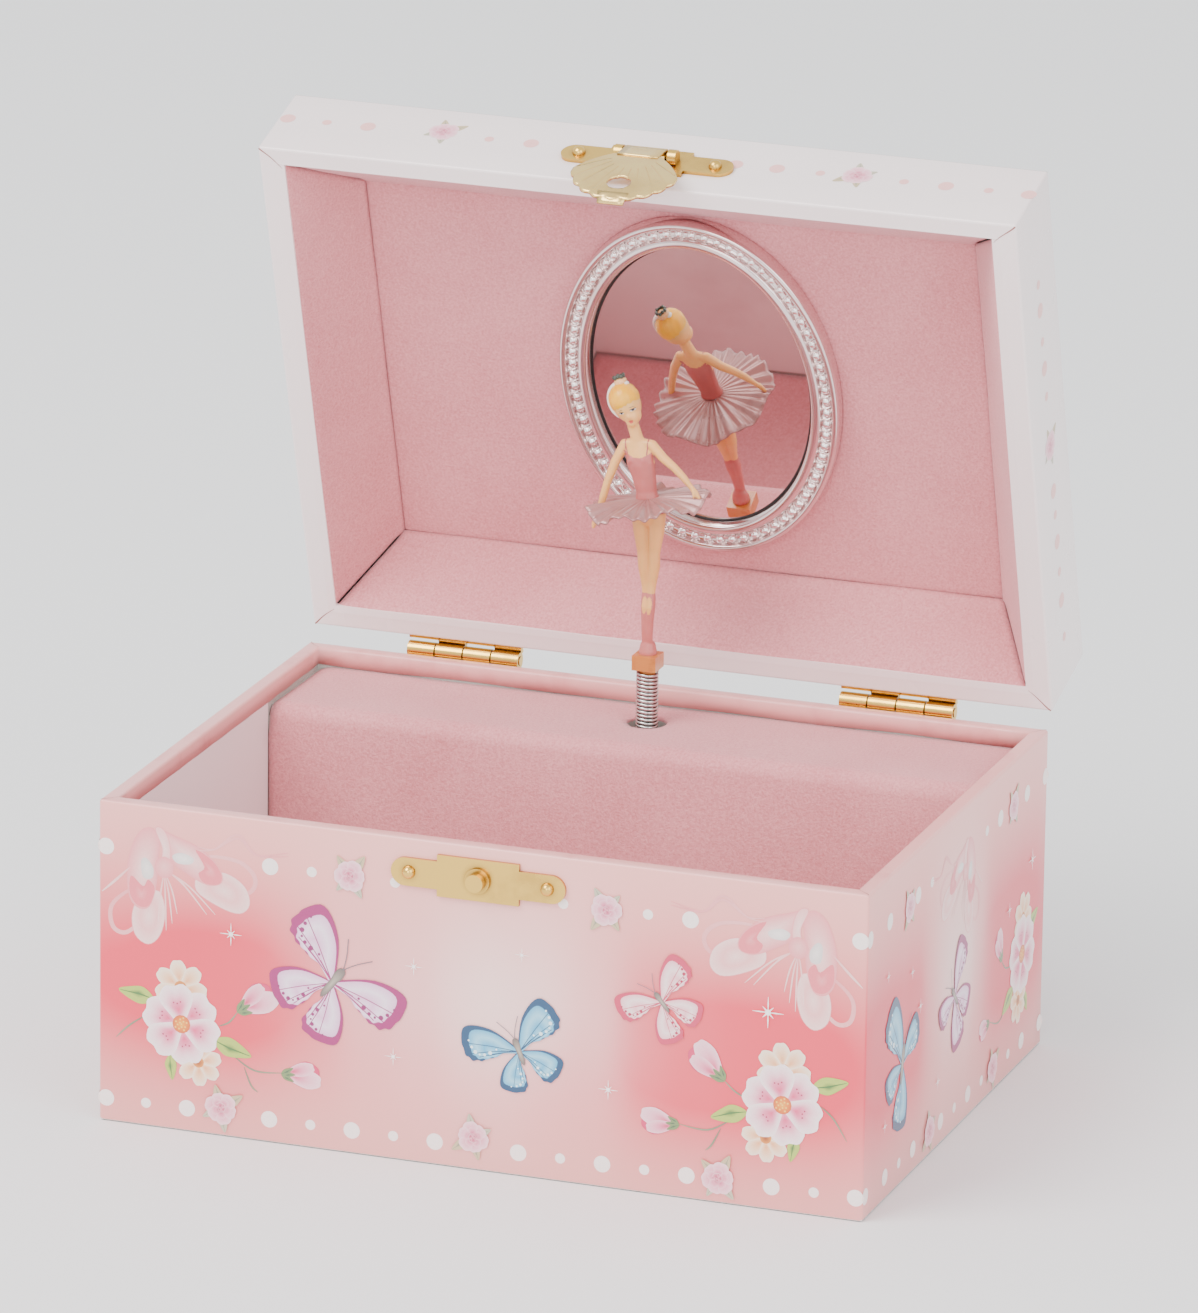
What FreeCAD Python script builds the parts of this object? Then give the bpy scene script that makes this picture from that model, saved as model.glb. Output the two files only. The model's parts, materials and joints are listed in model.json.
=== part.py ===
import FreeCAD, Part
import math
import os
import re
import Sketcher
from FreeCAD import Placement, Rotation, Vector

# Wind up music box with a turning ballerina, in millimetres.
# Frame: +Z up, front towards -Y, origin on the table at the middle of the base's footprint.
# The lid stands open; its parts are drawn as if shut and carried by the frame LidFrame.

doc = FreeCAD.newDocument("MusicBox")
sheet = doc.addObject("Spreadsheet::Sheet", "Sizes")

SIZES = [
    # casework
    ("box_width", 150.0, "outside width of base and lid"),
    ("box_depth", 107.3, "outside depth of base and lid"),
    ("base_height", 62.6, "outside height of the base"),
    ("lid_height", 20.3, "outside height of the lid"),
    ("board_thick", 2.6, "grey board of every wall"),
    ("paper_thick", 0.2, "printed wrap and liner papers"),
    ("turn_in", 3.4, "wrap folded down inside the rim"),
    ("pad_thick", 1.2, "velvet card on the compartment floor"),
    # velvet cover over the movement
    ("cover_depth", 26.85, "velvet face in front of the back board"),
    ("cover_drop", 3.6, "deck surface below the rim"),
    ("velvet_thick", 0.8, "flocked sheet"),
    ("fold_radius", 2.4, "rounded front edge of the cover"),
    ("deck_board", 2.0, "board under the velvet"),
    ("spring_hole", 3.85, "radius of the hole for the figure's spring"),
    # hinge
    ("lid_open", 73.3, "angle from shut to the open rest position"),
    ("hinge_back", 2.8, "hinge axis behind the back face"),
    ("hinge_rise", 0.15, "hinge axis above the base rim"),
    ("hinge_span", 44.0, "hinge middle from the box's middle"),
    ("hinge_length", 23.0, "length of one hinge barrel"),
    ("barrel_radius", 1.65, "outside of the knuckles"),
    ("hinge_pin", 0.85, "radius of the hinge pin"),
    ("run_fit", 0.08, "radial running clearance of pins and arbors"),
    ("leaf_thick", 0.8, "hinge leaf"),
    ("leaf_height", 8.0, "hinge leaf below or above the rim"),
    ("knuckle_gap", 0.3, "gap between knuckles"),
    ("nail_shank", 0.5, "radius of the small nails"),
    ("nail_head", 1.25, "radius of the small domed nail heads"),
    ("nail_length", 2.2, "nail shank in the board"),
    ("leaf_nail", 2.4, "leaf nails from the leaf's outer edge"),
    ("leaf_rise", 0.7, "leaf's near edge from the rim"),
    # lid lining and mirror
    ("lining_depth", 16.5, "velvet panel behind the lid rim"),
    ("lining_card", 0.7, "velvet card of the lining"),
    ("rim_side", 2.2, "lining edge inside the left and right boards"),
    ("rim_back", 2.0, "lining edge inside the back board"),
    ("rim_front", 0.7, "lining edge inside the front board"),
    ("slope_side", 14.0, "lining fold inside the left and right faces"),
    ("slope_back", 13.0, "lining fold inside the back face"),
    ("slope_front", 15.3, "lining fold inside the front face"),
    ("mirror_shift", 4.0, "mirror middle right of the box's middle"),
    ("mirror_back", 55.0, "mirror middle in front of the back face"),
    ("mirror_half_width", 28.0, "frame half width"),
    ("mirror_half_height", 36.5, "frame half height"),
    ("mirror_ring", 6.0, "width of the frame's ring"),
    ("mirror_thick", 3.5, "frame's thickness"),
    ("mirror_lip", 0.8, "frame lip over the glass edge"),
    ("glass_thick", 1.2, "mirror glass"),
    ("glass_fit", 0.15, "play round the mirror glass"),
    # catch and hasp
    ("catch_drop", 6.3, "stud below the rim"),
    ("plate_half", 17.0, "half length of catch and hasp plates"),
    ("plate_mid", 8.0, "half length of the plates' middle field"),
    ("plate_tall", 8.0, "height of the middle field"),
    ("plate_end", 5.4, "height of the rounded ends"),
    ("plate_thick", 0.7, "sheet of catch and hasp plates"),
    ("nail_span", 13.5, "plate nails from the middle"),
    ("stud_boss", 2.4, "radius of the stud's shoulder"),
    ("stud_peg", 1.7, "radius of the stud's peg"),
    ("boss_high", 1.3, "shoulder above the front face"),
    ("stud_high", 2.9, "peg above the front face"),
    ("hasp_pin_rise", 8.6, "hasp pin above the lid rim"),
    ("hasp_standoff", 1.7, "hasp pin in front of the lid face"),
    ("hasp_pin", 0.8, "radius of the hasp pin"),
    ("hasp_loop", 1.5, "outside radius of the hasp's loop"),
    ("hasp_neck", 4.0, "half width of the hasp's neck"),
    ("hasp_half", 10.2, "half width of the shell"),
    ("hasp_tip", 4.6, "shell beyond the stud"),
    ("hasp_sheet", 0.6, "sheet of the hasp"),
    ("hasp_hole", 2.2, "radius of the hasp's hole"),
    ("hasp_raise", 5.5, "hasp swung out from its latched angle, at rest"),
    # musical movement
    ("spin_x", -1.0, "figure's axis from the box's middle"),
    ("spin_back", 10.35, "figure's axis in front of the back board"),
    ("bed_thick", 2.2, "cast bedplate"),
    ("bed_half", 18.0, "half width of the bedplate"),
    ("bed_drop", 4.5, "head of the bedplate below the deck"),
    ("bed_length", 50.0, "height of the bedplate"),
    ("drum_radius", 6.0, "pinned cylinder"),
    ("drum_drop", 32.6, "foot of the pinned cylinder below the deck"),
    ("drum_length", 18.0, "length of the pinned cylinder"),
    ("pin_high", 0.5, "music pins above the cylinder"),
    ("arbor_radius", 1.4, "cylinder arbor"),
    ("drum_pivot", 0.8, "radius of the cylinder arbor's lower pivot"),
    ("comb_gap", 0.4, "comb tips from the pins"),
    ("comb_length", 11.0, "comb from tips to heel"),
    ("comb_thick", 1.0, "comb steel"),
    ("tine_count", 18.0, "teeth of the comb"),
    ("tine_slot", 0.25, "slot between comb teeth"),
    ("barrel_drop", 43.5, "spring barrel's axis below the deck"),
    ("barrel_drum", 10.0, "spring barrel's radius"),
    ("barrel_deep", 7.8, "spring barrel, front to back"),
    ("barrel_gap", 0.25, "pinion tips from the barrel's back face"),
    ("barrel_wall", 0.8, "spring barrel's sheet"),
    ("wind_arbor", 1.3, "winding arbor"),
    ("key_hole", 1.2, "hole in the back wall, round the winding arbor"),
    ("drum_fit", 0.15, "play of the barrel on the winding arbor"),
    ("bridge_thick", 1.0, "bridge strap in front of the barrel"),
    ("bridge_gap", 0.4, "bridge strap from the barrel"),
    ("bridge_half", 5.0, "half height of the bridge strap"),
    ("strip_thick", 0.35, "mainspring strip"),
    ("crown_teeth", 20.0, "teeth on the barrel's back rim"),
    ("pinion_teeth", 8.0, "teeth of the cylinder pinion"),
    ("crown_radius", 8.75, "pitch radius of the crown teeth"),
    ("tooth_reach", 0.55, "teeth beyond the pitch line"),
    ("tooth_wide", 0.8, "thickness of crown and pinion teeth"),
    ("wheel_teeth", 30.0, "teeth of the cylinder wheel"),
    ("transfer_teeth", 8.0, "teeth of the transfer pinion"),
    ("train_pitch", 0.25, "pitch radius per tooth of the upper train"),
    ("train_tooth", 0.55, "thickness of the upper train's teeth"),
    ("train_reach", 0.4, "upper teeth beyond the pitch line"),
    ("train_arbor", 0.6, "radius of the upper train's arbors"),
    ("wheel_thick", 1.2, "cylinder wheel"),
    ("worm_teeth", 12.0, "teeth of the worm wheel"),
    ("worm_pitch", 1.35, "pitch radius of the worm"),
    ("worm_root", 0.95, "core of the worm"),
    ("worm_turns", 4.0, "turns of the worm's thread"),
    ("worm_wheel", 0.8, "thickness of the worm wheel"),
    ("worm_drop", 9.2, "worm axis below the deck"),
    ("fan_radius", 4.0, "air brake"),
    ("fan_wide", 2.6, "air brake along the worm's arbor"),
    ("screw_shank", 1.1, "radius of the movement's screws"),
    ("screw_head", 2.4, "radius of their heads"),
    ("screw_rise", 1.1, "height of their heads"),
    ("screw_inset", 4.0, "screws from the bedplate's edges"),
    ("key_reach", 11.0, "winding key's half width"),
    ("key_clear", 1.2, "key hub behind the back face"),
    ("key_hub", 10.0, "length of the key's hub"),
    ("key_tall", 9.0, "length of the key's wings"),
    ("key_sheet", 1.2, "wing thickness"),
    # spring and figure
    ("spring_radius", 2.2, "outside of the flexible spring"),
    ("spring_wire", 0.6, "its wire"),
    ("spring_out", 10.5, "spring above the deck"),
    ("spring_grip", 7.0, "spring below the deck, over the arbor"),
    ("block_high", 3.0, "amber block under the shoes"),
    ("block_half", 2.4, "half width of the block"),
    ("ankle_high", 14.7, "ankles above the spring"),
    ("hip_high", 30.5, "hips above the spring"),
    ("tutu_high", 33.6, "tutu above the spring"),
    ("waist_high", 35.0, "waist above the spring"),
    ("shoulder_high", 44.6, "shoulders above the spring"),
    ("crown_high", 57.0, "top of the hair above the spring"),
    ("tutu_radius", 11.9, "tutu"),
    ("tutu_thick", 2.2, "tutu's depth at its middle"),
    ("shoulder_half", 3.0, "shoulders from the figure's line"),
    ("figure_lean", 2.6, "shoulders left of the axis"),
    ("head_lean", 5.4, "head left of the axis"),
    ("hand_left", 10.6, "hand of the lower arm from the axis"),
    ("hand_right", 9.5, "hand of the raised arm from the axis"),
]
ALIASES = {name for name, value, note in SIZES}
for row, (name, value, note) in enumerate(SIZES, start=1):
    sheet.set(f"A{row}", str(value))
    sheet.setAlias(f"A{row}", name)
    sheet.set(f"B{row}", note)
doc.recompute()

nodes = []


DERIVED = {
    "lining_side": "(paper_thick + board_thick + rim_side)",
    "lining_back": "(paper_thick + board_thick + rim_back)",
    "lining_front": "(paper_thick + board_thick + rim_front)",
    "deck": "(base_height - cover_drop)",
    "board_back": "(box_depth/2 - paper_thick - board_thick)",
    "cover_face": "(board_back - cover_depth)",
    "spin_y": "(board_back - spin_back)",
    "catch_height": "(base_height - catch_drop)",
    "bed_high": "(deck - bed_drop)",
    "bed_low": "(bed_high - bed_length)",
    "drum_low": "(deck - drum_drop)",
    "barrel_height": "(deck - barrel_drop)",
    "worm_height": "(deck - worm_drop)",
    "pinion_radius": "(pinion_teeth*crown_radius/crown_teeth)",
    "barrel_back": "(spin_y - pinion_radius - tooth_reach - barrel_gap)",
    "barrel_front": "(barrel_back - barrel_deep)",
}


def spell_out(text):
    """An expression with every derived place written in the sheet's own names."""
    while any(re.search(rf"\b{name}\b", text) for name in DERIVED):
        text = re.sub(r"[a-z_]+", lambda m: DERIVED.get(m[0], m[0]), text)
    return text


def ex(text):
    """An expression on the sheet's cells, from their plain names."""
    return re.sub(r"[a-z_]+", lambda m: "Sizes." + m[0] if m[0] in ALIASES else m[0], spell_out(text))


def val(text):
    """The present value of an expression on the sheet's cells."""
    cells = {name: getattr(sheet, name) for name in ALIASES}
    number = re.sub(r"[a-z_]+", lambda m: repr(float(cells[m[0]])) if m[0] in cells else m[0], spell_out(text))
    return float(FreeCAD.Units.Quantity(number).Value)


def place(obj, x="0", y="0", z="0", turn=("1;0;0", "0"), frame=None):
    """Bind an object's Placement to a point, a turn and the frame that carries it."""
    spot = f"placement(vector({ex(x)}; {ex(y)}; {ex(z)}); rotation(vector({turn[0]}); {ex(turn[1])}))"
    obj.setExpression("Placement", f"{frame}.Placement * {spot}" if frame else spot)
    return obj


def node(obj, label):
    """Mark a finished piece: its label names its file."""
    obj.Label = label
    nodes.append(obj)
    return obj


def slab(name, x, y, z, frame=None):
    """A box between pairs of expressions along X, Y and Z."""
    obj = doc.addObject("Part::Box", name)
    obj.setExpression("Length", ex(f"({x[1]}) - ({x[0]})"))
    obj.setExpression("Width", ex(f"({y[1]}) - ({y[0]})"))
    obj.setExpression("Height", ex(f"({z[1]}) - ({z[0]})"))
    return place(obj, x[0], y[0], z[0], frame=frame)


def rod(name, radius, length, x="0", y="0", z="0", along="z", frame=None):
    """A cylinder that starts at a point and runs along +X, +Y or +Z."""
    turns = {"z": ("1;0;0", "0"), "y": ("1;0;0", "-90"), "x": ("0;1;0", "90")}
    obj = doc.addObject("Part::Cylinder", name)
    obj.setExpression("Radius", ex(radius))
    obj.setExpression("Height", ex(length))
    return place(obj, x, y, z, turns[along], frame)


def cut(name, base, *tools):
    obj = doc.addObject("Part::Cut", name)
    obj.Base = base
    obj.Tool = tools[0] if len(tools) == 1 else group(name + "_tools", *tools)
    return obj


def group(name, *shapes):
    obj = doc.addObject("Part::MultiFuse", name)
    obj.Shapes = list(shapes)
    return obj


def several(name, *shapes):
    """Like pieces that share a node as separate solids."""
    obj = doc.addObject("Part::Compound", name)
    obj.Links = list(shapes)
    return obj


# ---------------------------------------------------------------- frames of the moving pieces
HINGE_Y = "(box_depth/2 + hinge_back)"
HINGE_Z = "(base_height + hinge_rise)"
RIM = "(base_height + 2*hinge_rise)"          # the lid's rim when shut
LID_TOP = f"({RIM} + lid_height)"
HASP_Y = "(-box_depth/2 - hasp_standoff)"
HASP_Z = f"({RIM} + hasp_pin_rise)"

lid_frame = doc.addObject("App::LocalCoordinateSystem", "LidFrame")
lid_frame.setExpression("Placement", ex(
    f"placement(vector(0; 0; 0); rotation(vector(1; 0; 0); -lid_open); vector(0; {HINGE_Y}; {HINGE_Z}))"))
hasp_frame = doc.addObject("App::LocalCoordinateSystem", "HaspFrame")
hasp_frame.setExpression("Placement", ex(
    "LidFrame.Placement * placement(vector(0; 0; 0); rotation(vector(1; 0; 0); -hasp_raise);"
    f" vector(0; {HASP_Y}; {HASP_Z}))"))
doc.recompute()

# ---------------------------------------------------------------- base: boards, wrap and papers
OUT_X = "(box_width/2 - paper_thick)"          # outer face of the boards
OUT_Y = "(box_depth/2 - paper_thick)"
IN_X = "(box_width/2 - paper_thick - board_thick)"
IN_Y = "(box_depth/2 - paper_thick - board_thick)"
BOARD_TOP = "(base_height - paper_thick)"
FLOOR = "(paper_thick + board_thick)"
FLOOR_TOP = f"({FLOOR} + pad_thick)"
WALL = ("paper_thick", BOARD_TOP)

KNUCKLE = "(hinge_length/4)"


def hinge_nail_spots(z):
    """Nail places on one leaf of each hinge."""
    return [(f"({sign}hinge_span {side} hinge_length/4)", z) for sign in ("-", "") for side in "-+"]


front_wall = slab("front_board", (f"-{OUT_X}", OUT_X), (f"-{OUT_Y}", f"-{IN_Y}"), WALL)
node(front_wall, "base_front_wall")
back_blank = slab("back_blank", (f"-{OUT_X}", OUT_X), (IN_Y, OUT_Y), WALL)
back_hole = rod("back_hole", "wind_arbor + key_hole", "board_thick + 2", "spin_x", f"{IN_Y} - 1", "barrel_height", "y")
node(cut("back_board", back_blank, back_hole), "base_back_wall")
for side, x in (("left", (f"-{OUT_X}", f"-{IN_X}")), ("right", (IN_X, OUT_X))):
    node(slab(side + "_board", x, (f"-{IN_Y}", IN_Y), WALL), f"base_{side}_wall")
node(slab("floor_board", (f"-{IN_X}", IN_X), (f"-{IN_Y}", IN_Y), ("paper_thick", FLOOR)), "base_floor")
node(slab("bottom_sheet", (f"-{OUT_X}", OUT_X), (f"-{OUT_Y}", OUT_Y), ("0", "paper_thick")),
     "base_bottom_sheet")

# The printed paper: outside, over the rim and down inside it.
MOUTH_X = f"({IN_X} - paper_thick)"
MOUTH_Y = f"({IN_Y} - paper_thick)"
wrap_block = slab("wrap_block", ("-box_width/2", "box_width/2"), ("-box_depth/2", "box_depth/2"),
                  ("0", "base_height"))
wrap_boards = slab("wrap_boards", (f"-{OUT_X}", OUT_X), (f"-{OUT_Y}", OUT_Y), ("0", BOARD_TOP))
wrap_mouth = slab("wrap_mouth", (f"-{MOUTH_X}", MOUTH_X), (f"-{MOUTH_Y}", MOUTH_Y), ("0", "base_height"))
fold_block = slab("fold_block", (f"-{IN_X}", IN_X), (f"-{IN_Y}", IN_Y), ("base_height - turn_in", "base_height"))
fold_mouth = slab("fold_mouth", (f"-{MOUTH_X}", MOUTH_X), (f"-{MOUTH_Y}", MOUTH_Y), ("0", "base_height"))
wrap_hole = rod("wrap_hole", "wind_arbor + key_hole", "board_thick + 2", "spin_x", f"{OUT_Y} - 1",
                "barrel_height", "y")
wrap_skin = cut("wrap_skin", wrap_block, wrap_boards, wrap_mouth, wrap_hole)
wrap_fold = cut("wrap_fold", fold_block, fold_mouth)
node(group("wrap_paper", wrap_skin, wrap_fold), "base_wrap")

# Plain paper on the three outer walls of the front compartment, and its velvet floor card.
LINER_TOP = "(base_height - turn_in)"
liner_block = slab("liner_block", (f"-{IN_X}", IN_X), (f"-{IN_Y}", "cover_face"), (FLOOR_TOP, LINER_TOP))
liner_space = slab("liner_space", (f"-{MOUTH_X}", MOUTH_X), (f"-{MOUTH_Y}", "cover_face"), (FLOOR_TOP, LINER_TOP))
node(cut("liner_paper", liner_block, liner_space), "compartment_liner")
node(slab("floor_card", (f"-{IN_X}", IN_X), (f"-{IN_Y}", "cover_face"), (FLOOR, FLOOR_TOP)),
     "compartment_floor_pad")

# ---------------------------------------------------------------- velvet cover over the movement
DECK = "deck"
UNDER = f"({DECK} - velvet_thick)"
PART_FRONT = "(cover_face + velvet_thick)"


def flocked_cover():
    """One sheet: up the compartment's back, round the fold and back to the rear wall."""
    face, low = val("cover_face"), val(FLOOR)
    back, deck = val(IN_Y), val(DECK)
    thick, radius = val("velvet_thick"), val("fold_radius")
    mid = Vector(0, face + radius, deck - radius)

    def path(gap):
        start = Vector(0, face + gap, low)
        bend = Vector(0, face + gap, mid.z)
        crown = mid + Vector(0, -(radius - gap) * math.sqrt(0.5), (radius - gap) * math.sqrt(0.5))
        top = Vector(0, mid.y, deck - gap)
        return start, bend, crown, top, Vector(0, back, deck - gap)

    a, b = path(0), path(thick)
    edges = [
        Part.LineSegment(a[0], a[1]), Part.Arc(a[1], a[2], a[3]), Part.LineSegment(a[3], a[4]),
        Part.LineSegment(a[4], b[4]), Part.LineSegment(b[4], b[3]), Part.Arc(b[3], b[2], b[1]),
        Part.LineSegment(b[1], b[0]), Part.LineSegment(b[0], a[0]),
    ]
    section = Part.Face(Part.Wire([e.toShape() for e in edges]))
    half = val(IN_X)
    section.translate(Vector(-half, 0, 0))
    return section.extrude(Vector(2 * half, 0, 0))


def shaped(name, shape):
    obj = doc.addObject("Part::Feature", name)
    obj.Shape = shape
    return obj


HOLE_DEPTH = ("cover_drop + deck_board + velvet_thick", f"{DECK} - deck_board - velvet_thick - 1")
cover_hole = rod("cover_hole", "spring_hole", HOLE_DEPTH[0], "spin_x", "spin_y", HOLE_DEPTH[1])
deck_hole = rod("deck_hole", "spring_hole", HOLE_DEPTH[0], "spin_x", "spin_y", HOLE_DEPTH[1])
node(cut("cover_sheet", shaped("cover_blank", flocked_cover()), cover_hole), "velvet_cover")
node(slab("partition", (f"-{IN_X}", IN_X), (PART_FRONT, f"{PART_FRONT} + deck_board"),
          (FLOOR, f"{UNDER} - deck_board")), "partition_board")
deck_blank = slab("deck_blank", (f"-{IN_X}", IN_X), ("cover_face + fold_radius", IN_Y),
                  (f"{UNDER} - deck_board", UNDER))
node(cut("deck", deck_blank, deck_hole), "deck_board")

# ---------------------------------------------------------------- lid: boards, wrap and lining
RIM_UP = f"({RIM} + paper_thick)"
LID_BOARD = f"({LID_TOP} - paper_thick - board_thick)"
LID_WALL = (RIM_UP, LID_BOARD)
node(slab("lid_panel", (f"-{OUT_X}", OUT_X), (f"-{OUT_Y}", OUT_Y), (LID_BOARD, f"{LID_TOP} - paper_thick"),
          "LidFrame"), "lid_top_board")
node(slab("lid_front", (f"-{OUT_X}", OUT_X), (f"-{OUT_Y}", f"-{IN_Y}"), LID_WALL, "LidFrame"), "lid_front_wall")
node(slab("lid_back", (f"-{OUT_X}", OUT_X), (IN_Y, OUT_Y), LID_WALL, "LidFrame"), "lid_back_wall")
for side, x in (("left", (f"-{OUT_X}", f"-{IN_X}")), ("right", (IN_X, OUT_X))):
    node(slab(f"lid_{side}", x, (f"-{IN_Y}", IN_Y), LID_WALL, "LidFrame"), f"lid_{side}_wall")

lid_block = slab("lid_block", ("-box_width/2", "box_width/2"), ("-box_depth/2", "box_depth/2"), (RIM, LID_TOP))
lid_boards = slab("lid_boards", (f"-{OUT_X}", OUT_X), (f"-{OUT_Y}", OUT_Y), (RIM_UP, f"{LID_TOP} - paper_thick"))
lid_mouth = slab("lid_mouth", (f"-{IN_X}", IN_X), (f"-{IN_Y}", IN_Y), (RIM, RIM_UP))
node(place(cut("lid_paper", lid_block, lid_boards, lid_mouth), frame="LidFrame"), "lid_wrap")


def hexahedron(low, high):
    """A solid with flat faces between two quadrilaterals of four points each."""
    rings = [low[::-1], high] + [[low[i], low[(i + 1) % 4], high[(i + 1) % 4], high[i]] for i in range(4)]
    faces = [Part.Face(Part.makePolygon(ring + ring[:1])) for ring in rings]
    return Part.Solid(Part.Shell(faces))


def lining_corners(inset_side, inset_back, inset_front, height):
    """The four corners of the lining's tray at one height, counted from the front left."""
    half_w, half_d = val("box_width/2"), val("box_depth/2")
    x, front, back = half_w - inset_side, -half_d + inset_front, half_d - inset_back
    return [Vector(-x, front, height), Vector(x, front, height), Vector(x, back, height), Vector(-x, back, height)]


def lining_cards():
    """Four sloping velvet cards, mitred at the corners, between the rim and the panel."""
    rim, floor, card = val(RIM), val(f"{RIM} + lining_depth"), val("lining_card")
    margins = [val("lining_side"), val("lining_back"), val("lining_front")]
    slopes = [val("slope_side"), val("slope_back"), val("slope_front")]
    inner = lining_corners(*margins, rim), lining_corners(*slopes, floor)
    outer = (lining_corners(*[m - card for m in margins], rim),
             lining_corners(*[s - card for s in slopes], floor))
    for name, i in (("front", 0), ("right", 1), ("back", 2), ("left", 3)):
        k = (i + 1) % 4
        low = [outer[0][i], outer[0][k], inner[0][k], inner[0][i]]
        high = [outer[1][i], outer[1][k], inner[1][k], inner[1][i]]
        yield name, hexahedron(low, high)


for name, card in lining_cards():
    node(place(shaped(f"lining_{name}", card), frame="LidFrame"), f"lid_lining_{name}")
PANEL = f"({RIM} + lining_depth)"
node(slab("lining_panel", ("-box_width/2 + slope_side - lining_card", "box_width/2 - slope_side + lining_card"),
          ("-box_depth/2 + slope_front - lining_card", "box_depth/2 - slope_back + lining_card"),
          (PANEL, LID_BOARD), "LidFrame"), "lid_lining_panel")

# ---------------------------------------------------------------- oval mirror in the lid
MIRROR_Y = "(box_depth/2 - mirror_back)"


def oval(name, shrink, low, high):
    """An oval disc inside the frame's outline by 'shrink', its long axis along Y."""
    edge = doc.addObject("Part::Ellipse", name + "_edge")
    edge.setExpression("MajorRadius", ex(f"mirror_half_height - ({shrink})"))
    edge.setExpression("MinorRadius", ex(f"mirror_half_width - ({shrink})"))
    place(edge, "mirror_shift", MIRROR_Y, low, ("0;0;1", "90"))
    disc = doc.addObject("Part::Extrusion", name)
    disc.Base = edge
    disc.DirMode = "Custom"
    disc.Dir = Vector(0, 0, 1)
    disc.setExpression("LengthFwd", ex(f"({high}) - ({low})"))
    disc.Solid = True
    return disc


FRAME_FACE = f"({PANEL} - mirror_thick)"
GLASS_FACE = f"({PANEL} - glass_thick)"
frame_disc = oval("frame_disc", "0", FRAME_FACE, PANEL)
frame_window = oval("frame_window", "mirror_ring", FRAME_FACE, PANEL)
frame_rebate = oval("frame_rebate", "mirror_ring - mirror_lip - glass_fit", GLASS_FACE, PANEL)
node(place(cut("frame_ring", frame_disc, frame_window, frame_rebate), frame="LidFrame"), "mirror_frame")
glass = oval("glass_disc", "mirror_ring - mirror_lip", GLASS_FACE, PANEL)
node(place(several("glass_oval", glass), frame="LidFrame"), "mirror_glass")


# ---------------------------------------------------------------- hinges
def hinge_leaf(side, sign, for_lid):
    """One leaf with its two knuckles; base and lid leaves take turns along the pin."""
    tag = f"{side}_{'lid' if for_lid else 'base'}"
    start = f"({sign}hinge_span - hinge_length/2)"
    lift = f"({RIM})" if for_lid else "(base_height)"
    face = ("box_depth/2", "box_depth/2 + leaf_thick")
    if for_lid:
        plate_z = (f"{lift} + leaf_rise", f"{lift} + leaf_height")
        arm_z = (f"{HINGE_Z} + 1.0", f"{HINGE_Z} + 2.2")
    else:
        plate_z = (f"{lift} - leaf_height", f"{lift} - leaf_rise")
        arm_z = (f"{HINGE_Z} - 2.2", f"{HINGE_Z} - 1.0")
    pieces = [slab(tag + "_plate", (start, f"{start} + hinge_length"), face, plate_z)]
    for turn in ((1, 3) if for_lid else (0, 2)):
        low = f"({start} + {turn}*{KNUCKLE} + knuckle_gap/2)"
        high = f"({start} + {turn + 1}*{KNUCKLE} - knuckle_gap/2)"
        pieces.append(slab(f"{tag}_arm{turn}", (low, high), (face[0], f"{HINGE_Y} - leaf_thick"), arm_z))
        pieces.append(rod(f"{tag}_knuckle{turn}", "barrel_radius", f"{high} - {low}", low, HINGE_Y, HINGE_Z, "x"))
    body = group(tag + "_body", *pieces)
    bore = rod(tag + "_bore", "hinge_pin + run_fit", "hinge_length + 2", f"{start} - 1", HINGE_Y, HINGE_Z, "x")
    spot = f"{lift} + leaf_height - leaf_nail" if for_lid else f"{lift} - leaf_height + leaf_nail"
    holes = [rod(f"{tag}_hole{i}", "nail_shank", "leaf_thick + 2", f"{sign}hinge_span {s} hinge_length/4",
                 "box_depth/2 - 1", spot, "y") for i, s in enumerate("-+")]
    return cut(tag + "_leaf", body, bore, *holes)


def nail(name, x, y, z, outward, frame=None):
    """A small nail: a low domed head on a face along Y and a shank into the board."""
    length = "nail_length"
    if outward > 0:
        shank = rod(name + "_shank", "nail_shank", f"{length} + nail_head/2", x, f"{y} - {length}", z, "y")
        low, high = y, f"{y} + 2*nail_head"
    else:
        shank = rod(name + "_shank", "nail_shank", f"{length} + nail_head/2", x, f"{y} - nail_head/2", z, "y")
        low, high = f"{y} - 2*nail_head", y
    ball = doc.addObject("Part::Sphere", name + "_ball")
    ball.setExpression("Radius", ex("nail_head"))
    place(ball, x, y, z)
    keep = slab(name + "_keep", (f"{x} - 2*nail_head", f"{x} + 2*nail_head"), (low, high),
                (f"{z} - 2*nail_head", f"{z} + 2*nail_head"))
    dome = doc.addObject("Part::Common", name + "_dome")
    dome.Base = ball
    dome.Tool = keep
    return place(group(name, shank, dome), frame=frame)


for side, sign in (("left", "-"), ("right", "")):
    node(hinge_leaf(side, sign, False), f"{side}_hinge_base_leaf")
    node(place(hinge_leaf(side, sign, True), frame="LidFrame"), f"{side}_hinge_lid_leaf")
pins = [rod(f"hinge_pin_{i}", "hinge_pin", "hinge_length", f"{sign}hinge_span - hinge_length/2",
            HINGE_Y, HINGE_Z, "x") for i, sign in enumerate(("-", ""))]
node(several("hinge_pin_pair", *pins), "hinge_pins")
NAIL_FACE = "(box_depth/2 + leaf_thick)"
base_nails = [nail(f"base_nail{i}", x, NAIL_FACE, z, 1)
              for i, (x, z) in enumerate(hinge_nail_spots("(base_height - leaf_height + leaf_nail)"))]
node(several("base_leaf_nails", *base_nails), "hinge_base_nails")
lid_nails = [nail(f"lid_nail{i}", x, NAIL_FACE, z, 1)
             for i, (x, z) in enumerate(hinge_nail_spots(f"({RIM} + leaf_height - leaf_nail)"))]
node(place(several("lid_leaf_nails", *lid_nails), frame="LidFrame"), "hinge_lid_nails")


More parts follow.
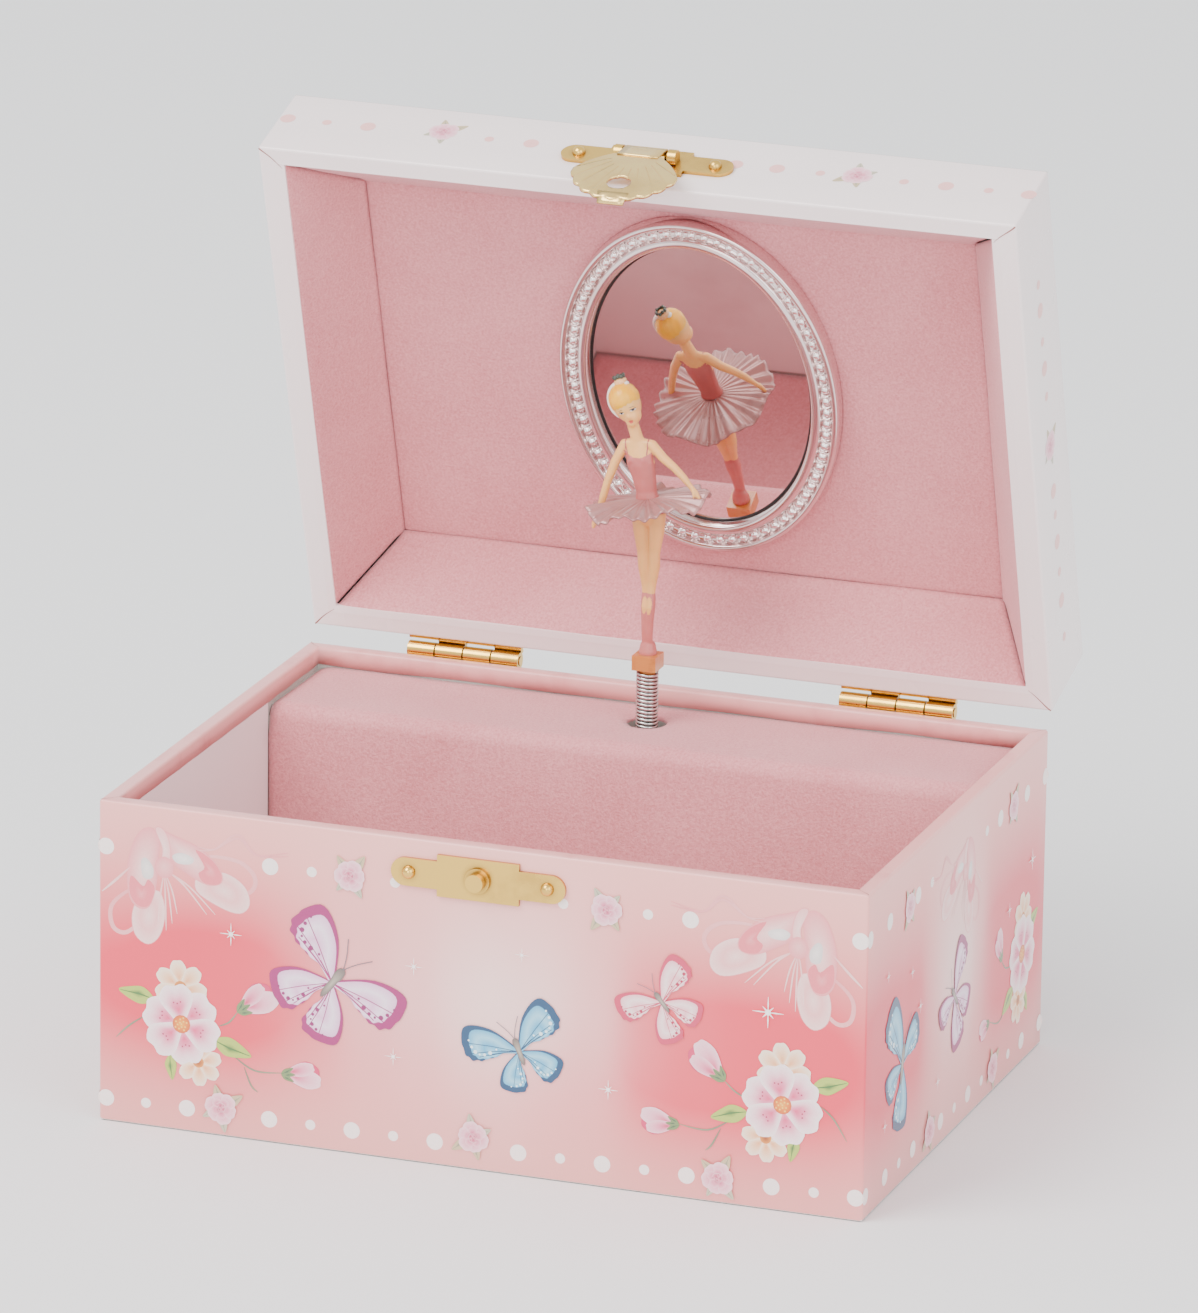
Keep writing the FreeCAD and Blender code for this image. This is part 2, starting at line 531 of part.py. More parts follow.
# ---------------------------------------------------------------- catch on the base, hasp on the lid
def lobed_plate(name, height):
    """A sheet with a taller middle field and rounded ends, on the front face."""
    front = ("-box_depth/2 - plate_thick", "-box_depth/2")
    middle = slab(name + "_middle", ("-plate_mid", "plate_mid"), front,
                  (f"{height} - plate_tall/2", f"{height} + plate_tall/2"))
    bar = slab(name + "_bar", ("-plate_half + plate_end/2", "plate_half - plate_end/2"), front,
               (f"{height} - plate_end/2", f"{height} + plate_end/2"))
    ends = [rod(f"{name}_end{i}", "plate_end/2", "plate_thick", f"{s}(plate_half - plate_end/2)",
                "-box_depth/2 - plate_thick", height, "y") for i, s in enumerate(("-", ""))]
    return group(name, middle, bar, *ends)


def plate_holes(name, height):
    return [rod(f"{name}_hole{i}", "nail_shank", "plate_thick + 2", f"{s}nail_span",
                "-box_depth/2 - plate_thick - 1", height, "y") for i, s in enumerate(("-", ""))]


stud_hole = rod("stud_hole", "stud_peg", "plate_thick + 2", "0", "-box_depth/2 - plate_thick - 1",
                "catch_height", "y")
node(cut("catch_sheet", lobed_plate("catch_blank", "catch_height"), stud_hole,
         *plate_holes("catch", "catch_height")), "catch_plate")
peg = rod("stud_shaft", "stud_peg", "stud_high", "0", "-box_depth/2 - stud_high", "catch_height", "y")
boss = rod("stud_shoulder", "stud_boss", "boss_high - plate_thick", "0", "-box_depth/2 - boss_high",
           "catch_height", "y")
node(group("stud", peg, boss), "catch_stud")
PLATE_FACE = "(-box_depth/2 - plate_thick)"
catch_nails = [nail(f"catch_nail{i}", f"({s}nail_span)", PLATE_FACE, "catch_height", -1)
               for i, s in enumerate(("-", ""))]
node(several("catch_nail_pair", *catch_nails), "catch_nails")

SLOT = ("-hasp_neck - 0.5", "hasp_neck + 0.5")
hasp_blank = lobed_plate("hasp_blank", HASP_Z)
ears = [rod(f"hasp_ear{i}", "hasp_loop", "1.6", x, HASP_Y, HASP_Z, "x")
        for i, x in enumerate(("-hasp_neck - 2.1", "hasp_neck + 0.5"))]
hasp_slot = slab("hasp_slot", SLOT, ("-box_depth/2 - plate_thick - 1", "-box_depth/2 + 1"),
                 (f"{HASP_Z} - hasp_loop - 0.6", f"{HASP_Z} + hasp_loop + 0.6"))
lid_side = slab("lid_side", ("-plate_half", "plate_half"), ("-box_depth/2", "-box_depth/2 + 5"),
                (f"{HASP_Z} - 6", f"{HASP_Z} + 6"))
pin_hole = rod("hasp_pin_hole", "hasp_pin", "2*hasp_neck + 6", "-hasp_neck - 3", HASP_Y, HASP_Z, "x")
hasp_plate = cut("hasp_sheet", group("hasp_eared", hasp_blank, *ears), hasp_slot, lid_side, pin_hole,
                 *plate_holes("hasp", HASP_Z))
node(place(hasp_plate, frame="LidFrame"), "hasp_plate")
node(rod("hasp_pin", "hasp_pin", "2*hasp_neck + 4.2", "-hasp_neck - 2.1", HASP_Y, HASP_Z, "x", "LidFrame"),
     "hasp_pin")
hasp_nails = [nail(f"hasp_nail{i}", f"({s}nail_span)", PLATE_FACE, HASP_Z, -1) for i, s in enumerate(("-", ""))]
node(place(several("hasp_nail_pair", *hasp_nails), frame="LidFrame"), "hasp_nails")


def scallop_shell():
    """The hasp: a loop on its pin, a neck and a fan-shaped shell with a hole, gently bowed."""
    y, z = val(HASP_Y), val(HASP_Z)
    reach = val(f"{HASP_Z} - catch_height")
    tip = reach + val("hasp_tip")
    sheet_thick, half, neck = val("hasp_sheet"), val("hasp_half"), val("hasp_neck")
    bow = 0.9
    # side section: an arc of sheet that starts over the pin and curls in at the tip
    rise = val("hasp_loop") - sheet_thick
    outer = [Vector(0, y - rise - sheet_thick, z), Vector(0, y - rise - sheet_thick - bow * 0.5, z - tip / 2),
             Vector(0, y - rise - sheet_thick + bow, z - tip)]
    inner = [p + Vector(0, sheet_thick, 0) for p in outer]
    edges = [Part.Arc(*outer), Part.LineSegment(outer[2], inner[2]), Part.Arc(*inner[::-1]),
             Part.LineSegment(inner[0], outer[0])]
    section = Part.Face(Part.Wire([e.toShape() for e in edges]))
    section.translate(Vector(-half, 0, 0))
    sheet_bar = section.extrude(Vector(2 * half, 0, 0))
    # front outline: neck, then scallops round the edge of a fan
    fan_mid = Vector(0, y - 10, z - reach + 2.5)
    radius = tip - reach + 2.5
    lobes = 9
    outline = Part.makeBox(2 * neck, 20, reach - 2, Vector(-neck, y - 10, z - reach + 2))
    fan = Part.makeCylinder(1, 20, fan_mid, Vector(0, 1, 0))
    for i in range(lobes):
        turn = math.radians(-100 + 200 * i / (lobes - 1))
        spread = 1 / math.sqrt((math.sin(turn) / (half - 1.9)) ** 2 + (math.cos(turn) / (radius - 1.9)) ** 2)
        mid = fan_mid + Vector(math.sin(turn) * spread, 0, -math.cos(turn) * spread)
        fan = fan.fuse(Part.makeCylinder(1.9, 20, mid, Vector(0, 1, 0)))
        side = Vector(math.cos(turn), 0, math.sin(turn)) * 1.9
        web = [fan_mid + side * 0.4, fan_mid - side * 0.4, mid - side, mid + side]
        fan = fan.fuse(Part.Face(Part.makePolygon(web + web[:1])).extrude(Vector(0, 20, 0)))
    outline = outline.fuse(fan)
    shell = sheet_bar.common(outline)
    hole = Part.makeCylinder(val("hasp_hole"), 20, Vector(0, y - 10, z - reach), Vector(0, 1, 0))
    loop = Part.makeCylinder(val("hasp_loop"), 2 * neck, Vector(-neck, y, z), Vector(1, 0, 0))
    bore = Part.makeCylinder(val("hasp_pin + run_fit"), 2 * half, Vector(-half, y, z), Vector(1, 0, 0))
    return shell.cut(hole).fuse(loop).cut(bore).removeSplitter()


node(place(shaped("hasp_flap", scallop_shell()), frame="HaspFrame"), "hasp_shell")

# ---------------------------------------------------------------- musical movement: fixed pieces
BED_FACE = f"({IN_Y} - bed_thick)"
BED_Y = (BED_FACE, IN_Y)
TRAIN_X = "(spin_x + (wheel_teeth + transfer_teeth)*train_pitch)"
WHEEL_LOW = "(drum_low + drum_length + 0.6)"
GOV_X = f"({TRAIN_X} + worm_teeth*train_pitch + worm_pitch)"
PINION_LOW = "(barrel_height + crown_radius - 1.25)"
bed = slab("bed", ("spin_x - bed_half", "spin_x + bed_half"), BED_Y, ("bed_low", "bed_high"))
arms = [
    slab("foot_arm", ("spin_x - 3", "spin_x + 3"), ("spin_y - 2.2", BED_FACE),
         (f"{PINION_LOW} - 2.5", f"{PINION_LOW} - 0.5")),
    slab("head_arm", ("spin_x - 3", "spin_x + 3"), ("spin_y - 3", BED_FACE),
         (f"{WHEEL_LOW} + wheel_thick + 0.6", f"{WHEEL_LOW} + wheel_thick + 2.6")),
    slab("low_train_arm", (f"{TRAIN_X} - 1.9", f"{TRAIN_X} + 2.4"), ("spin_y - 2.2", BED_FACE),
         (f"{WHEEL_LOW} - 3.6", f"{WHEEL_LOW} - 1.8")),
    slab("high_train_arm", (f"{TRAIN_X} - 2.4", f"{TRAIN_X} + 1.8"), ("spin_y - 2.2", BED_FACE),
         ("worm_height + 2.2", "worm_height + 3.8")),
    slab("comb_rest", ("spin_x - bed_half", "spin_x - bed_half + 6"), ("spin_y + comb_thick/2", BED_FACE),
         ("drum_low", "drum_low + drum_length")),
]
arbor_bores = [
    rod("drum_bore_low", "drum_pivot + run_fit", "4", "spin_x", "spin_y", f"{PINION_LOW} - 3.5"),
    rod("drum_bore_high", "arbor_radius + run_fit", "4", "spin_x", "spin_y", f"{WHEEL_LOW} + wheel_thick"),
    rod("train_bore", "train_arbor + run_fit", "20", TRAIN_X, "spin_y", f"{WHEEL_LOW} - 4"),
    rod("wind_bore", "wind_arbor + run_fit", "bed_thick + 2", "spin_x", f"{BED_FACE} - 1", "barrel_height", "y"),
]
node(cut("bedplate", group("bed_cast", bed, *arms), *arbor_bores), "movement_bedplate")

SCREW_SPOTS = [
    ("(spin_x - bed_half + screw_inset)", "(bed_high - screw_inset - 1)"),
    ("(spin_x + bed_half - screw_inset)", "(bed_high - 3*screw_inset)"),
    ("(spin_x - bed_half + screw_inset)", "(bed_low + screw_inset)"),
]
screws = []
for i, (x, z) in enumerate(SCREW_SPOTS):
    shank = rod(f"screw_shank{i}", "screw_shank", "board_thick + 2*paper_thick + bed_thick - 0.3", x,
                f"{BED_FACE} + 0.3", z, "y")
    head = rod(f"screw_head{i}", "screw_head", "screw_rise", x, "box_depth/2", z, "y")
    slot_cut = slab(f"screw_slot{i}", (f"{x} - 3", f"{x} + 3"), ("box_depth/2 + screw_rise/2", "box_depth/2 + 2*screw_rise"),
                    (f"{z} - 0.35", f"{z} + 0.35"))
    screws.append(cut(f"screw{i}", group(f"screw_blank{i}", shank, head), slot_cut))
node(several("screw_set", *screws), "movement_screws")

BRIDGE_FRONT = "(barrel_front - bridge_gap - bridge_thick)"
BRIDGE_Z = ("barrel_height - bridge_half", "barrel_height + bridge_half")
bridge = slab("bridge_bar", ("spin_x - barrel_drum - 3.6", "spin_x + barrel_drum + 3.6"),
              (BRIDGE_FRONT, "barrel_front - bridge_gap"), BRIDGE_Z)
legs = [slab(f"bridge_leg{i}", (low, f"{low} + 1.6"), (BRIDGE_FRONT, BED_FACE), BRIDGE_Z)
        for i, low in enumerate(("(spin_x - barrel_drum - 3.6)", "(spin_x + barrel_drum + 2)"))]
bridge_bore = rod("bridge_bore", "wind_arbor + run_fit", "3", "spin_x", f"{BRIDGE_FRONT} - 1", "barrel_height", "y")
node(cut("bridge_strap", group("bridge_strip", bridge, *legs), bridge_bore), "barrel_bridge")
click = rod("click_ring", "wind_arbor + 1.1", "3.5", "spin_x", f"{BED_FACE} - 3.5", "barrel_height", "y")
click_bore = rod("click_bore", "wind_arbor + 0.2", "5", "spin_x", f"{BED_FACE} - 4", "barrel_height", "y")
node(cut("click_coil", click, click_bore), "click_spring")

gov_side = slab("gov_side", (f"{GOV_X} + 2.2", f"{GOV_X} + 3.4"), ("spin_y - 5.2", BED_FACE),
                ("worm_height - 2", "worm_height + 2"))
gov_ears = [slab(f"gov_ear{i}", (f"{GOV_X} - 1.5", f"{GOV_X} + 2.2"), y, ("worm_height - 2", "worm_height + 2"))
            for i, y in enumerate((("spin_y - 5.2", "spin_y - 4.2"), ("spin_y + 4.6", "spin_y + 5.6")))]
gov_bore = rod("gov_bore", "train_arbor + run_fit", "14", GOV_X, "spin_y - 7", "worm_height", "y")
node(cut("gov_bracket", group("gov_strip", gov_side, *gov_ears), gov_bore), "governor_frame")

comb = doc.addObject("PartDesign::Body", "comb_body")


def plane(body, role):
    return next(f for f in body.Origin.OriginFeatures if f.Role == role)


def sketch_on(body, name, role="XY_Plane"):
    sketch = body.newObject("Sketcher::SketchObject", name)
    sketch.AttachmentSupport = [(plane(body, role), "")]
    sketch.MapMode = "FlatFace"
    return sketch


def draw_circle(sketch, radius):
    curve = sketch.addGeometry(Part.Circle(Vector(), Vector(0, 0, 1), 1), False)
    sketch.addConstraint(Sketcher.Constraint("Coincident", curve, 3, -1, 1))
    size = sketch.addConstraint(Sketcher.Constraint("Radius", curve, 1))
    sketch.setExpression(f"Constraints[{size}]", ex(radius))


def draw_bar(sketch, start, end, width):
    """A rectangle astride the sketch's X axis, between two distances from its Y axis."""
    a, b, w = val(start), val(end), val(width) / 2
    spots = [Vector(a, -w, 0), Vector(b, -w, 0), Vector(b, w, 0), Vector(a, w, 0)]
    lines = [sketch.addGeometry(Part.LineSegment(spots[i], spots[(i + 1) % 4]), False) for i in range(4)]
    for i in range(4):
        sketch.addConstraint(Sketcher.Constraint("Coincident", lines[i], 2, lines[(i + 1) % 4], 1))
    for i, kind in ((0, "Horizontal"), (2, "Horizontal"), (3, "Vertical")):
        sketch.addConstraint(Sketcher.Constraint(kind, lines[i]))
    sketch.addConstraint(Sketcher.Constraint("Symmetric", lines[0], 2, lines[1], 2, -1))
    for value, kind, spot in ((start, "DistanceX", (lines[0], 1)), (end, "DistanceX", (lines[0], 2))):
        size = sketch.addConstraint(Sketcher.Constraint(kind, -1, 1, *spot, val(value)))
        sketch.setExpression(f"Constraints[{size}]", ex(value))
    size = sketch.addConstraint(Sketcher.Constraint("Distance", lines[1], val(width)))
    sketch.setExpression(f"Constraints[{size}]", ex(width))


def pad(body, sketch, name, length):
    feature = body.newObject("PartDesign::Pad", name)
    feature.Profile = sketch
    feature.setExpression("Length", ex(length))
    sketch.Visibility = False
    return feature


def toothed(name, rim, tip, tooth, teeth, thick, bore, from_radius=None, tooth_thick=None):
    """A wheel on the body's Z axis, its teeth one pad repeated round the axis."""
    body = doc.addObject("PartDesign::Body", name)
    disc = sketch_on(body, name + "_disc")
    draw_circle(disc, rim)
    draw_circle(disc, bore)
    pad(body, disc, name + "_blank", thick)
    bar = sketch_on(body, name + "_bar")
    draw_bar(bar, from_radius or f"{rim} - 0.2", tip, tooth)
    one = pad(body, bar, name + "_tooth", tooth_thick or thick)
    doc.recompute()
    ring = body.newObject("PartDesign::PolarPattern", name + "_ring")
    ring.Originals = [one]
    ring.Axis = (bar, ["N_Axis"])
    ring.Angle = 360
    ring.setExpression("Occurrences", ex(teeth))
    body.Tip = ring
    return body


# The comb: a steel plate slotted into teeth, its tips just short of the music pins.
comb_plate = sketch_on(comb, "comb_outline")
draw_bar(comb_plate, "drum_radius + pin_high + comb_gap", "drum_radius + pin_high + comb_gap + comb_length",
         "drum_length")
pad(comb, comb_plate, "comb_blank", "comb_thick")
slot = sketch_on(comb, "comb_slot")
TINE = "(drum_length/tine_count)"
draw_bar(slot, "drum_radius + pin_high + comb_gap - 0.5", "drum_radius + pin_high + comb_gap + comb_length*0.6",
         "tine_slot")
doc.recompute()
first = comb.newObject("PartDesign::Pocket", "comb_cut")
first.Profile = slot
first.setExpression("Length", ex("comb_thick"))
first.Reversed = True
slot.Visibility = False
doc.recompute()
for name, back in (("comb_up", False), ("comb_down", True)):
    row = comb.newObject("PartDesign::LinearPattern", name)
    row.Originals = [first]
    row.Direction = (slot, ["V_Axis"])
    row.Reversed = back
    row.setExpression("Length", ex(f"{TINE}*(tine_count/2 - 1)"))
    row.setExpression("Occurrences", ex("tine_count/2"))
    comb.Tip = row
    doc.recompute()
comb.setExpression("Placement", ex(
    "placement(vector(spin_x; spin_y + comb_thick/2; drum_low + drum_length/2); rotation(vector(0; 0; 1); 180))"
    " * placement(vector(0; 0; 0); rotation(vector(1; 0; 0); 90)) * placement(vector(0; 0; -comb_thick);"
    " rotation(vector(1; 0; 0); 0))"))
node(comb, "comb")

# ---------------------------------------------------------------- musical movement: turning pieces
# Winding arbor and key, on the barrel's axis, out through the back wall.
node(rod("arbor", "wind_arbor", f"box_depth/2 + key_clear + key_hub - {BRIDGE_FRONT}", "spin_x",
         BRIDGE_FRONT, "barrel_height", "y"), "winding_arbor")
KEY_Y = "(box_depth/2 + key_clear)"
hub = rod("key_hub", "wind_arbor + 1", "key_hub", "spin_x", KEY_Y, "barrel_height", "y")
wings = [rod(f"key_wing{i}", "key_tall/2", "key_sheet", f"spin_x {s} (key_reach - key_tall/2)",
             f"{KEY_Y} + key_hub - key_tall/2 - 0.4", "barrel_height - key_sheet/2") for i, s in enumerate("-+")]
web = slab("key_web", ("spin_x - key_reach + key_tall/2", "spin_x + key_reach - key_tall/2"),
           (f"{KEY_Y} + key_hub - key_tall/2 - 2.4", f"{KEY_Y} + key_hub - key_tall/2 + 1.6"),
           ("barrel_height - key_sheet/2", "barrel_height + key_sheet/2"))
key_bore = rod("key_bore", "wind_arbor", "key_hub + 1", "spin_x", f"{KEY_Y}", "barrel_height", "y")
node(cut("key", group("key_blank", hub, web, *wings), key_bore), "winding_key")

# Spring barrel: a closed drum whose back rim carries the crown teeth.
CROWN_TIP = "(spin_y - pinion_radius + tooth_reach)"
barrel = toothed("barrel_body", "barrel_drum", "crown_radius + 0.75", "tooth_wide", "crown_teeth",
                 "barrel_back - barrel_front", "wind_arbor + drum_fit", "crown_radius - 0.75",
                 f"{CROWN_TIP} - barrel_front")
hollow = sketch_on(barrel, "barrel_hollow")
hollow.AttachmentOffset = Placement(Vector(0, 0, val("barrel_wall")), Rotation())
hollow.setExpression("AttachmentOffset.Base.z", ex("barrel_wall"))
draw_circle(hollow, "barrel_drum - barrel_wall")
draw_circle(hollow, "wind_arbor + drum_fit")
doc.recompute()
cavity = barrel.newObject("PartDesign::Pocket", "barrel_cavity")
cavity.Profile = hollow
cavity.setExpression("Length", ex("barrel_back - barrel_front - 2*barrel_wall"))
cavity.Reversed = True
hollow.Visibility = False
barrel.Tip = cavity
node(place(barrel, "spin_x", "barrel_front", "barrel_height", ("1;0;0", "-90")), "spring_barrel")


def spiral_strip():
    """The mainspring: a flat strip wound in half turns of growing radius."""
    low, high = val("wind_arbor + 1"), val("barrel_drum - barrel_wall - 0.8")
    strip, halves = val("strip_thick"), 12
    step = (high - low) / halves
    rims = []
    for shift in (0.0, strip):
        arcs, start = [], Vector(low + shift, 0, 0)
        for i in range(halves):
            sign = 1 if i % 2 == 0 else -1
            radius = low + step * (i + 0.5) + shift
            mid = Vector(start.x - sign * radius, 0, 0)
            crest, end = mid + Vector(0, sign * radius, 0), mid - Vector(sign * radius, 0, 0)
            arcs.append(Part.Arc(start, crest, end).toShape())
            start = end
        rims.append((arcs, start))
    first_end = Part.LineSegment(Vector(low, 0, 0), Vector(low + strip, 0, 0)).toShape()
    last_end = Part.LineSegment(rims[0][1], rims[1][1]).toShape()
    wire = Part.Wire(Part.__sortEdges__(rims[0][0] + rims[1][0] + [first_end, last_end]))
    depth = val("barrel_back - barrel_front - 2*barrel_wall") - 1
    return Part.Face(wire).extrude(Vector(0, 0, depth))


node(place(shaped("main_strip", spiral_strip()), "spin_x", "barrel_front + barrel_wall + 0.5", "barrel_height",
           ("1;0;0", "-90")), "mainspring")

# Cylinder: arbor with its pinion, pinned drum and wheel.
PINION_R = "pinion_radius"
pinion = toothed("pinion_body", f"{PINION_R} - 1.2", f"{PINION_R} + tooth_reach", "tooth_wide",
                 "pinion_teeth", "2.5", "arbor_radius", f"{PINION_R} - 1.5")
place(pinion, "spin_x", "spin_y", PINION_LOW, ("0;0;1", "-90 + 180/pinion_teeth"))
node(pinion, "cylinder_pinion")
ARBOR_LOW = f"({PINION_LOW} - 0.4)"
shaft = rod("drum_shaft", "arbor_radius", f"{DECK} - 1 - {ARBOR_LOW}", "spin_x", "spin_y", ARBOR_LOW)
pivot = rod("pivot", "drum_pivot", "3", "spin_x", "spin_y", f"{ARBOR_LOW} - 2")
node(group("drum_arbor", shaft, pivot), "cylinder_arbor")


def pinned_drum():
    """The music cylinder: a thin drum with rows of pins set out by a fixed rule."""
    radius, length = val("drum_radius"), val("drum_length")
    bore, tall, tines = val("arbor_radius"), val("pin_high"), int(val("tine_count"))
    drum = Part.makeCylinder(radius, length).cut(Part.makeCylinder(bore, length))
    pins = []
    for note in range(tines):
        height = length * (note + 0.5) / tines
        for beat in range(3):
            turn = math.radians((note * 137.5 + beat * 120 + 17 * beat * note) % 360)
            way = Vector(math.cos(turn), math.sin(turn), 0)
            pins.append(Part.makeCylinder(0.16, tall + 0.4, way * (radius - 0.4) + Vector(0, 0, height), way))
    return drum.fuse(pins)


node(place(shaped("music_drum", pinned_drum()), "spin_x", "spin_y", "drum_low"), "music_cylinder")
wheel = toothed("wheel_body", "wheel_teeth*train_pitch - 0.6", "wheel_teeth*train_pitch + train_reach",
                "train_tooth", "wheel_teeth", "wheel_thick", "arbor_radius")
node(place(wheel, "spin_x", "spin_y", WHEEL_LOW), "cylinder_wheel")

# Transfer arbor: a small pinion driven by the cylinder wheel, and the worm wheel above it.
transfer = toothed("transfer_body", "transfer_teeth*train_pitch - 0.7", "transfer_teeth*train_pitch + train_reach",
                   "train_tooth", "transfer_teeth", "wheel_thick + 0.4", "train_arbor")
place(transfer, TRAIN_X, "spin_y", f"{WHEEL_LOW} - 0.2", ("0;0;1", "180/transfer_teeth"))
worm_wheel = toothed("worm_wheel_body", "worm_teeth*train_pitch - 0.6", "worm_teeth*train_pitch + 0.2",
                     "0.5", "worm_teeth", "worm_wheel", "train_arbor")
place(worm_wheel, TRAIN_X, "spin_y", "worm_height - worm_wheel/2")
sleeve = rod("transfer_sleeve", "2*train_arbor", f"worm_height - {WHEEL_LOW}", TRAIN_X, "spin_y", WHEEL_LOW)
sleeve_bore = rod("sleeve_bore", "train_arbor", "20", TRAIN_X, "spin_y", f"{WHEEL_LOW} - 5")
node(cut("transfer_moulding", group("transfer_solid", transfer, worm_wheel, sleeve), sleeve_bore),
     "transfer_wheel")
node(rod("arbor_two", "train_arbor", f"worm_height - {WHEEL_LOW} + 7", TRAIN_X, "spin_y", f"{WHEEL_LOW} - 3.4"),
     "transfer_arbor")


def governor():
    """The governor: a fast worm with a two-bladed air brake on the front of its arbor."""
    pitch = 2 * math.pi * val("train_pitch")
    core, reach = val("worm_root"), val("worm_pitch") + 0.15
    length = pitch * val("worm_turns")
    thread_path = Part.makeHelix(pitch, length, core)
    wire = Part.makePolygon([Vector(core - 0.15, 0, -0.2), Vector(reach, 0, -0.1), Vector(reach, 0, 0.1),
                             Vector(core - 0.15, 0, 0.2), Vector(core - 0.15, 0, -0.2)])
    thread = Part.Wire(thread_path).makePipeShell([wire], True, True)
    body = Part.makeCylinder(core, length + 1.2, Vector(0, 0, -0.6))
    arbor, fan, wide, start = val("train_arbor"), val("fan_radius"), val("fan_wide"), -6.6
    body = body.fuse(Part.makeCylinder(arbor, length - start + 2.7, Vector(0, 0, start)))
    body = body.fuse(thread)
    blades = Part.makeBox(2 * fan, 0.4, wide, Vector(-fan, -0.2, start))
    hub = Part.makeCylinder(arbor + 0.5, wide, Vector(0, 0, start))
    return body.fuse([blades, hub]).removeSplitter()


node(place(shaped("governor_spindle", governor()), GOV_X, "spin_y - pi*train_pitch*worm_turns", "worm_height",
           ("1;0;0", "-90")), "governor_worm")

# ---------------------------------------------------------------- spring and ballerina
TIP = f"({DECK} + spring_out)"
coil = rod("coil", "spring_radius", "spring_grip + spring_out", "spin_x", "spin_y", f"{DECK} - spring_grip")
coil_bore = rod("coil_bore", "spring_radius - spring_wire", "spring_grip + spring_out + 2", "spin_x", "spin_y",
                f"{DECK} - spring_grip - 1")
node(cut("coil_spring", coil, coil_bore), "flex_spring")

block = slab("block", ("spin_x - block_half", "spin_x + block_half"), ("spin_y - block_half", "spin_y + block_half"),
             (f"{TIP} + 0.1", f"{TIP} + block_high"))
spigot = rod("block_spigot", "spring_radius - spring_wire - run_fit", "4.2", "spin_x", "spin_y", f"{TIP} - 4")
node(group("foot_block", block, spigot), "figure_block")


def limb(name, a, b, ra, rb):
    """A tapered round limb between two points given from the spring's top."""
    a, b = Vector(*a), Vector(*b)
    obj = doc.addObject("Part::Cone", name)
    obj.Radius1 = ra
    obj.Radius2 = rb
    obj.Height = (b - a).Length
    base = Vector(val("spin_x"), val("spin_y"), val(TIP))
    obj.Placement = Placement(base + a, Rotation(Vector(0, 0, 1), b - a))
    return obj


def ball(name, at, radii):
    obj = doc.addObject("Part::Ellipsoid", name)
    obj.Radius1, obj.Radius2, obj.Radius3 = radii[2], radii[0], radii[1]
    base = Vector(val("spin_x"), val("spin_y"), val(TIP))
    obj.Placement = Placement(base + Vector(*at), Rotation())
    return obj


def figure():
    """The moulded dancer: legs together, torso leaning, one arm low and one raised."""
    ankle, hip, waist = val("ankle_high"), val("hip_high"), val("waist_high")
    chest, top = val("shoulder_high"), val("crown_high")
    lean, head = val("figure_lean"), val("head_lean")
    half, block_top = val("shoulder_half"), val("block_high") + 0.05
    left, right = (-lean - half, 0, chest), (-lean + half, 0, chest - 0.4)
    head_mid = (-head, 0, top - 4.6)
    hand_l, hand_r = (-val("hand_left"), -1.0, hip - 2.0), (val("hand_right"), -1.0, waist + 1.6)
    elbow_l, elbow_r = (-lean - half - 2.6, -0.6, chest - 8.6), (2.6, -0.6, chest - 4.4)
    return [
        limb("shoes", (0, 0, block_top), (-0.2, 0, ankle - 4), 2.0, 1.7),
        limb("slippers", (-0.2, 0, ankle - 4.4), (-0.3, 0, ankle), 1.8, 1.7),
        limb("left_leg", (-0.7, 0, ankle - 0.4), (-2.0, 0, hip), 1.1, 2.0),
        limb("right_leg", (0.3, 0, ankle - 0.4), (1.0, 0, hip), 1.1, 2.0),
        limb("hips", (-0.5, 0, hip - 1.0), (-1.0, 0, waist), 3.2, 2.3),
        limb("torso", (-1.0, 0, waist - 0.2), (-lean, 0, chest - 1.0), 2.2, 2.9),
        limb("shoulders", left, right, 1.2, 1.2),
        limb("neck", (-lean, 0, chest - 1.0), (-head + 0.8, 0, chest + 4.0), 1.0, 0.9),
        limb("left_upper", left, elbow_l, 1.1, 0.9),
        limb("left_fore", elbow_l, hand_l, 0.9, 0.7),
        limb("right_upper", right, elbow_r, 1.1, 0.9),
        limb("right_fore", elbow_r, hand_r, 0.9, 0.7),
        ball("left_elbow", elbow_l, (0.9, 0.9, 0.9)),
        ball("right_elbow", elbow_r, (0.9, 0.9, 0.9)),
        ball("left_shoulder", left, (1.25, 1.25, 1.25)),
        ball("right_shoulder", right, (1.25, 1.25, 1.25)),
        ball("head", head_mid, (2.9, 3.2, 4.4)),
    ]


dancer = group("dancer", *figure())
TUTU = f"({TIP} + tutu_high)"
skirt_halves = []
for name, foot, radii in (("skirt_low", f"{TUTU} - tutu_thick/2", ("tutu_radius*0.4", "tutu_radius")),
                          ("skirt_high", TUTU, ("tutu_radius", "tutu_radius*0.4"))):
    cone = doc.addObject("Part::Cone", name)
    cone.setExpression("Radius1", ex(radii[0]))
    cone.setExpression("Radius2", ex(radii[1]))
    cone.setExpression("Height", ex("tutu_thick/2"))
    skirt_halves.append(place(cone, "spin_x - 0.4", "spin_y", foot))
skirt_gap = rod("skirt_gap", "3.5", "tutu_thick + 1", "spin_x - 0.8", "spin_y", f"{TUTU} - tutu_thick/2 - 0.5")
arm_names = ("left_fore", "left_upper", "right_fore", "right_upper")
arm_room = group("arm_room", *[o for o in dancer.Shapes if o.Name in arm_names])
node(dancer, "ballerina_figure")
node(cut("tutu", group("skirt", *skirt_halves), skirt_gap, arm_room), "ballerina_tutu")

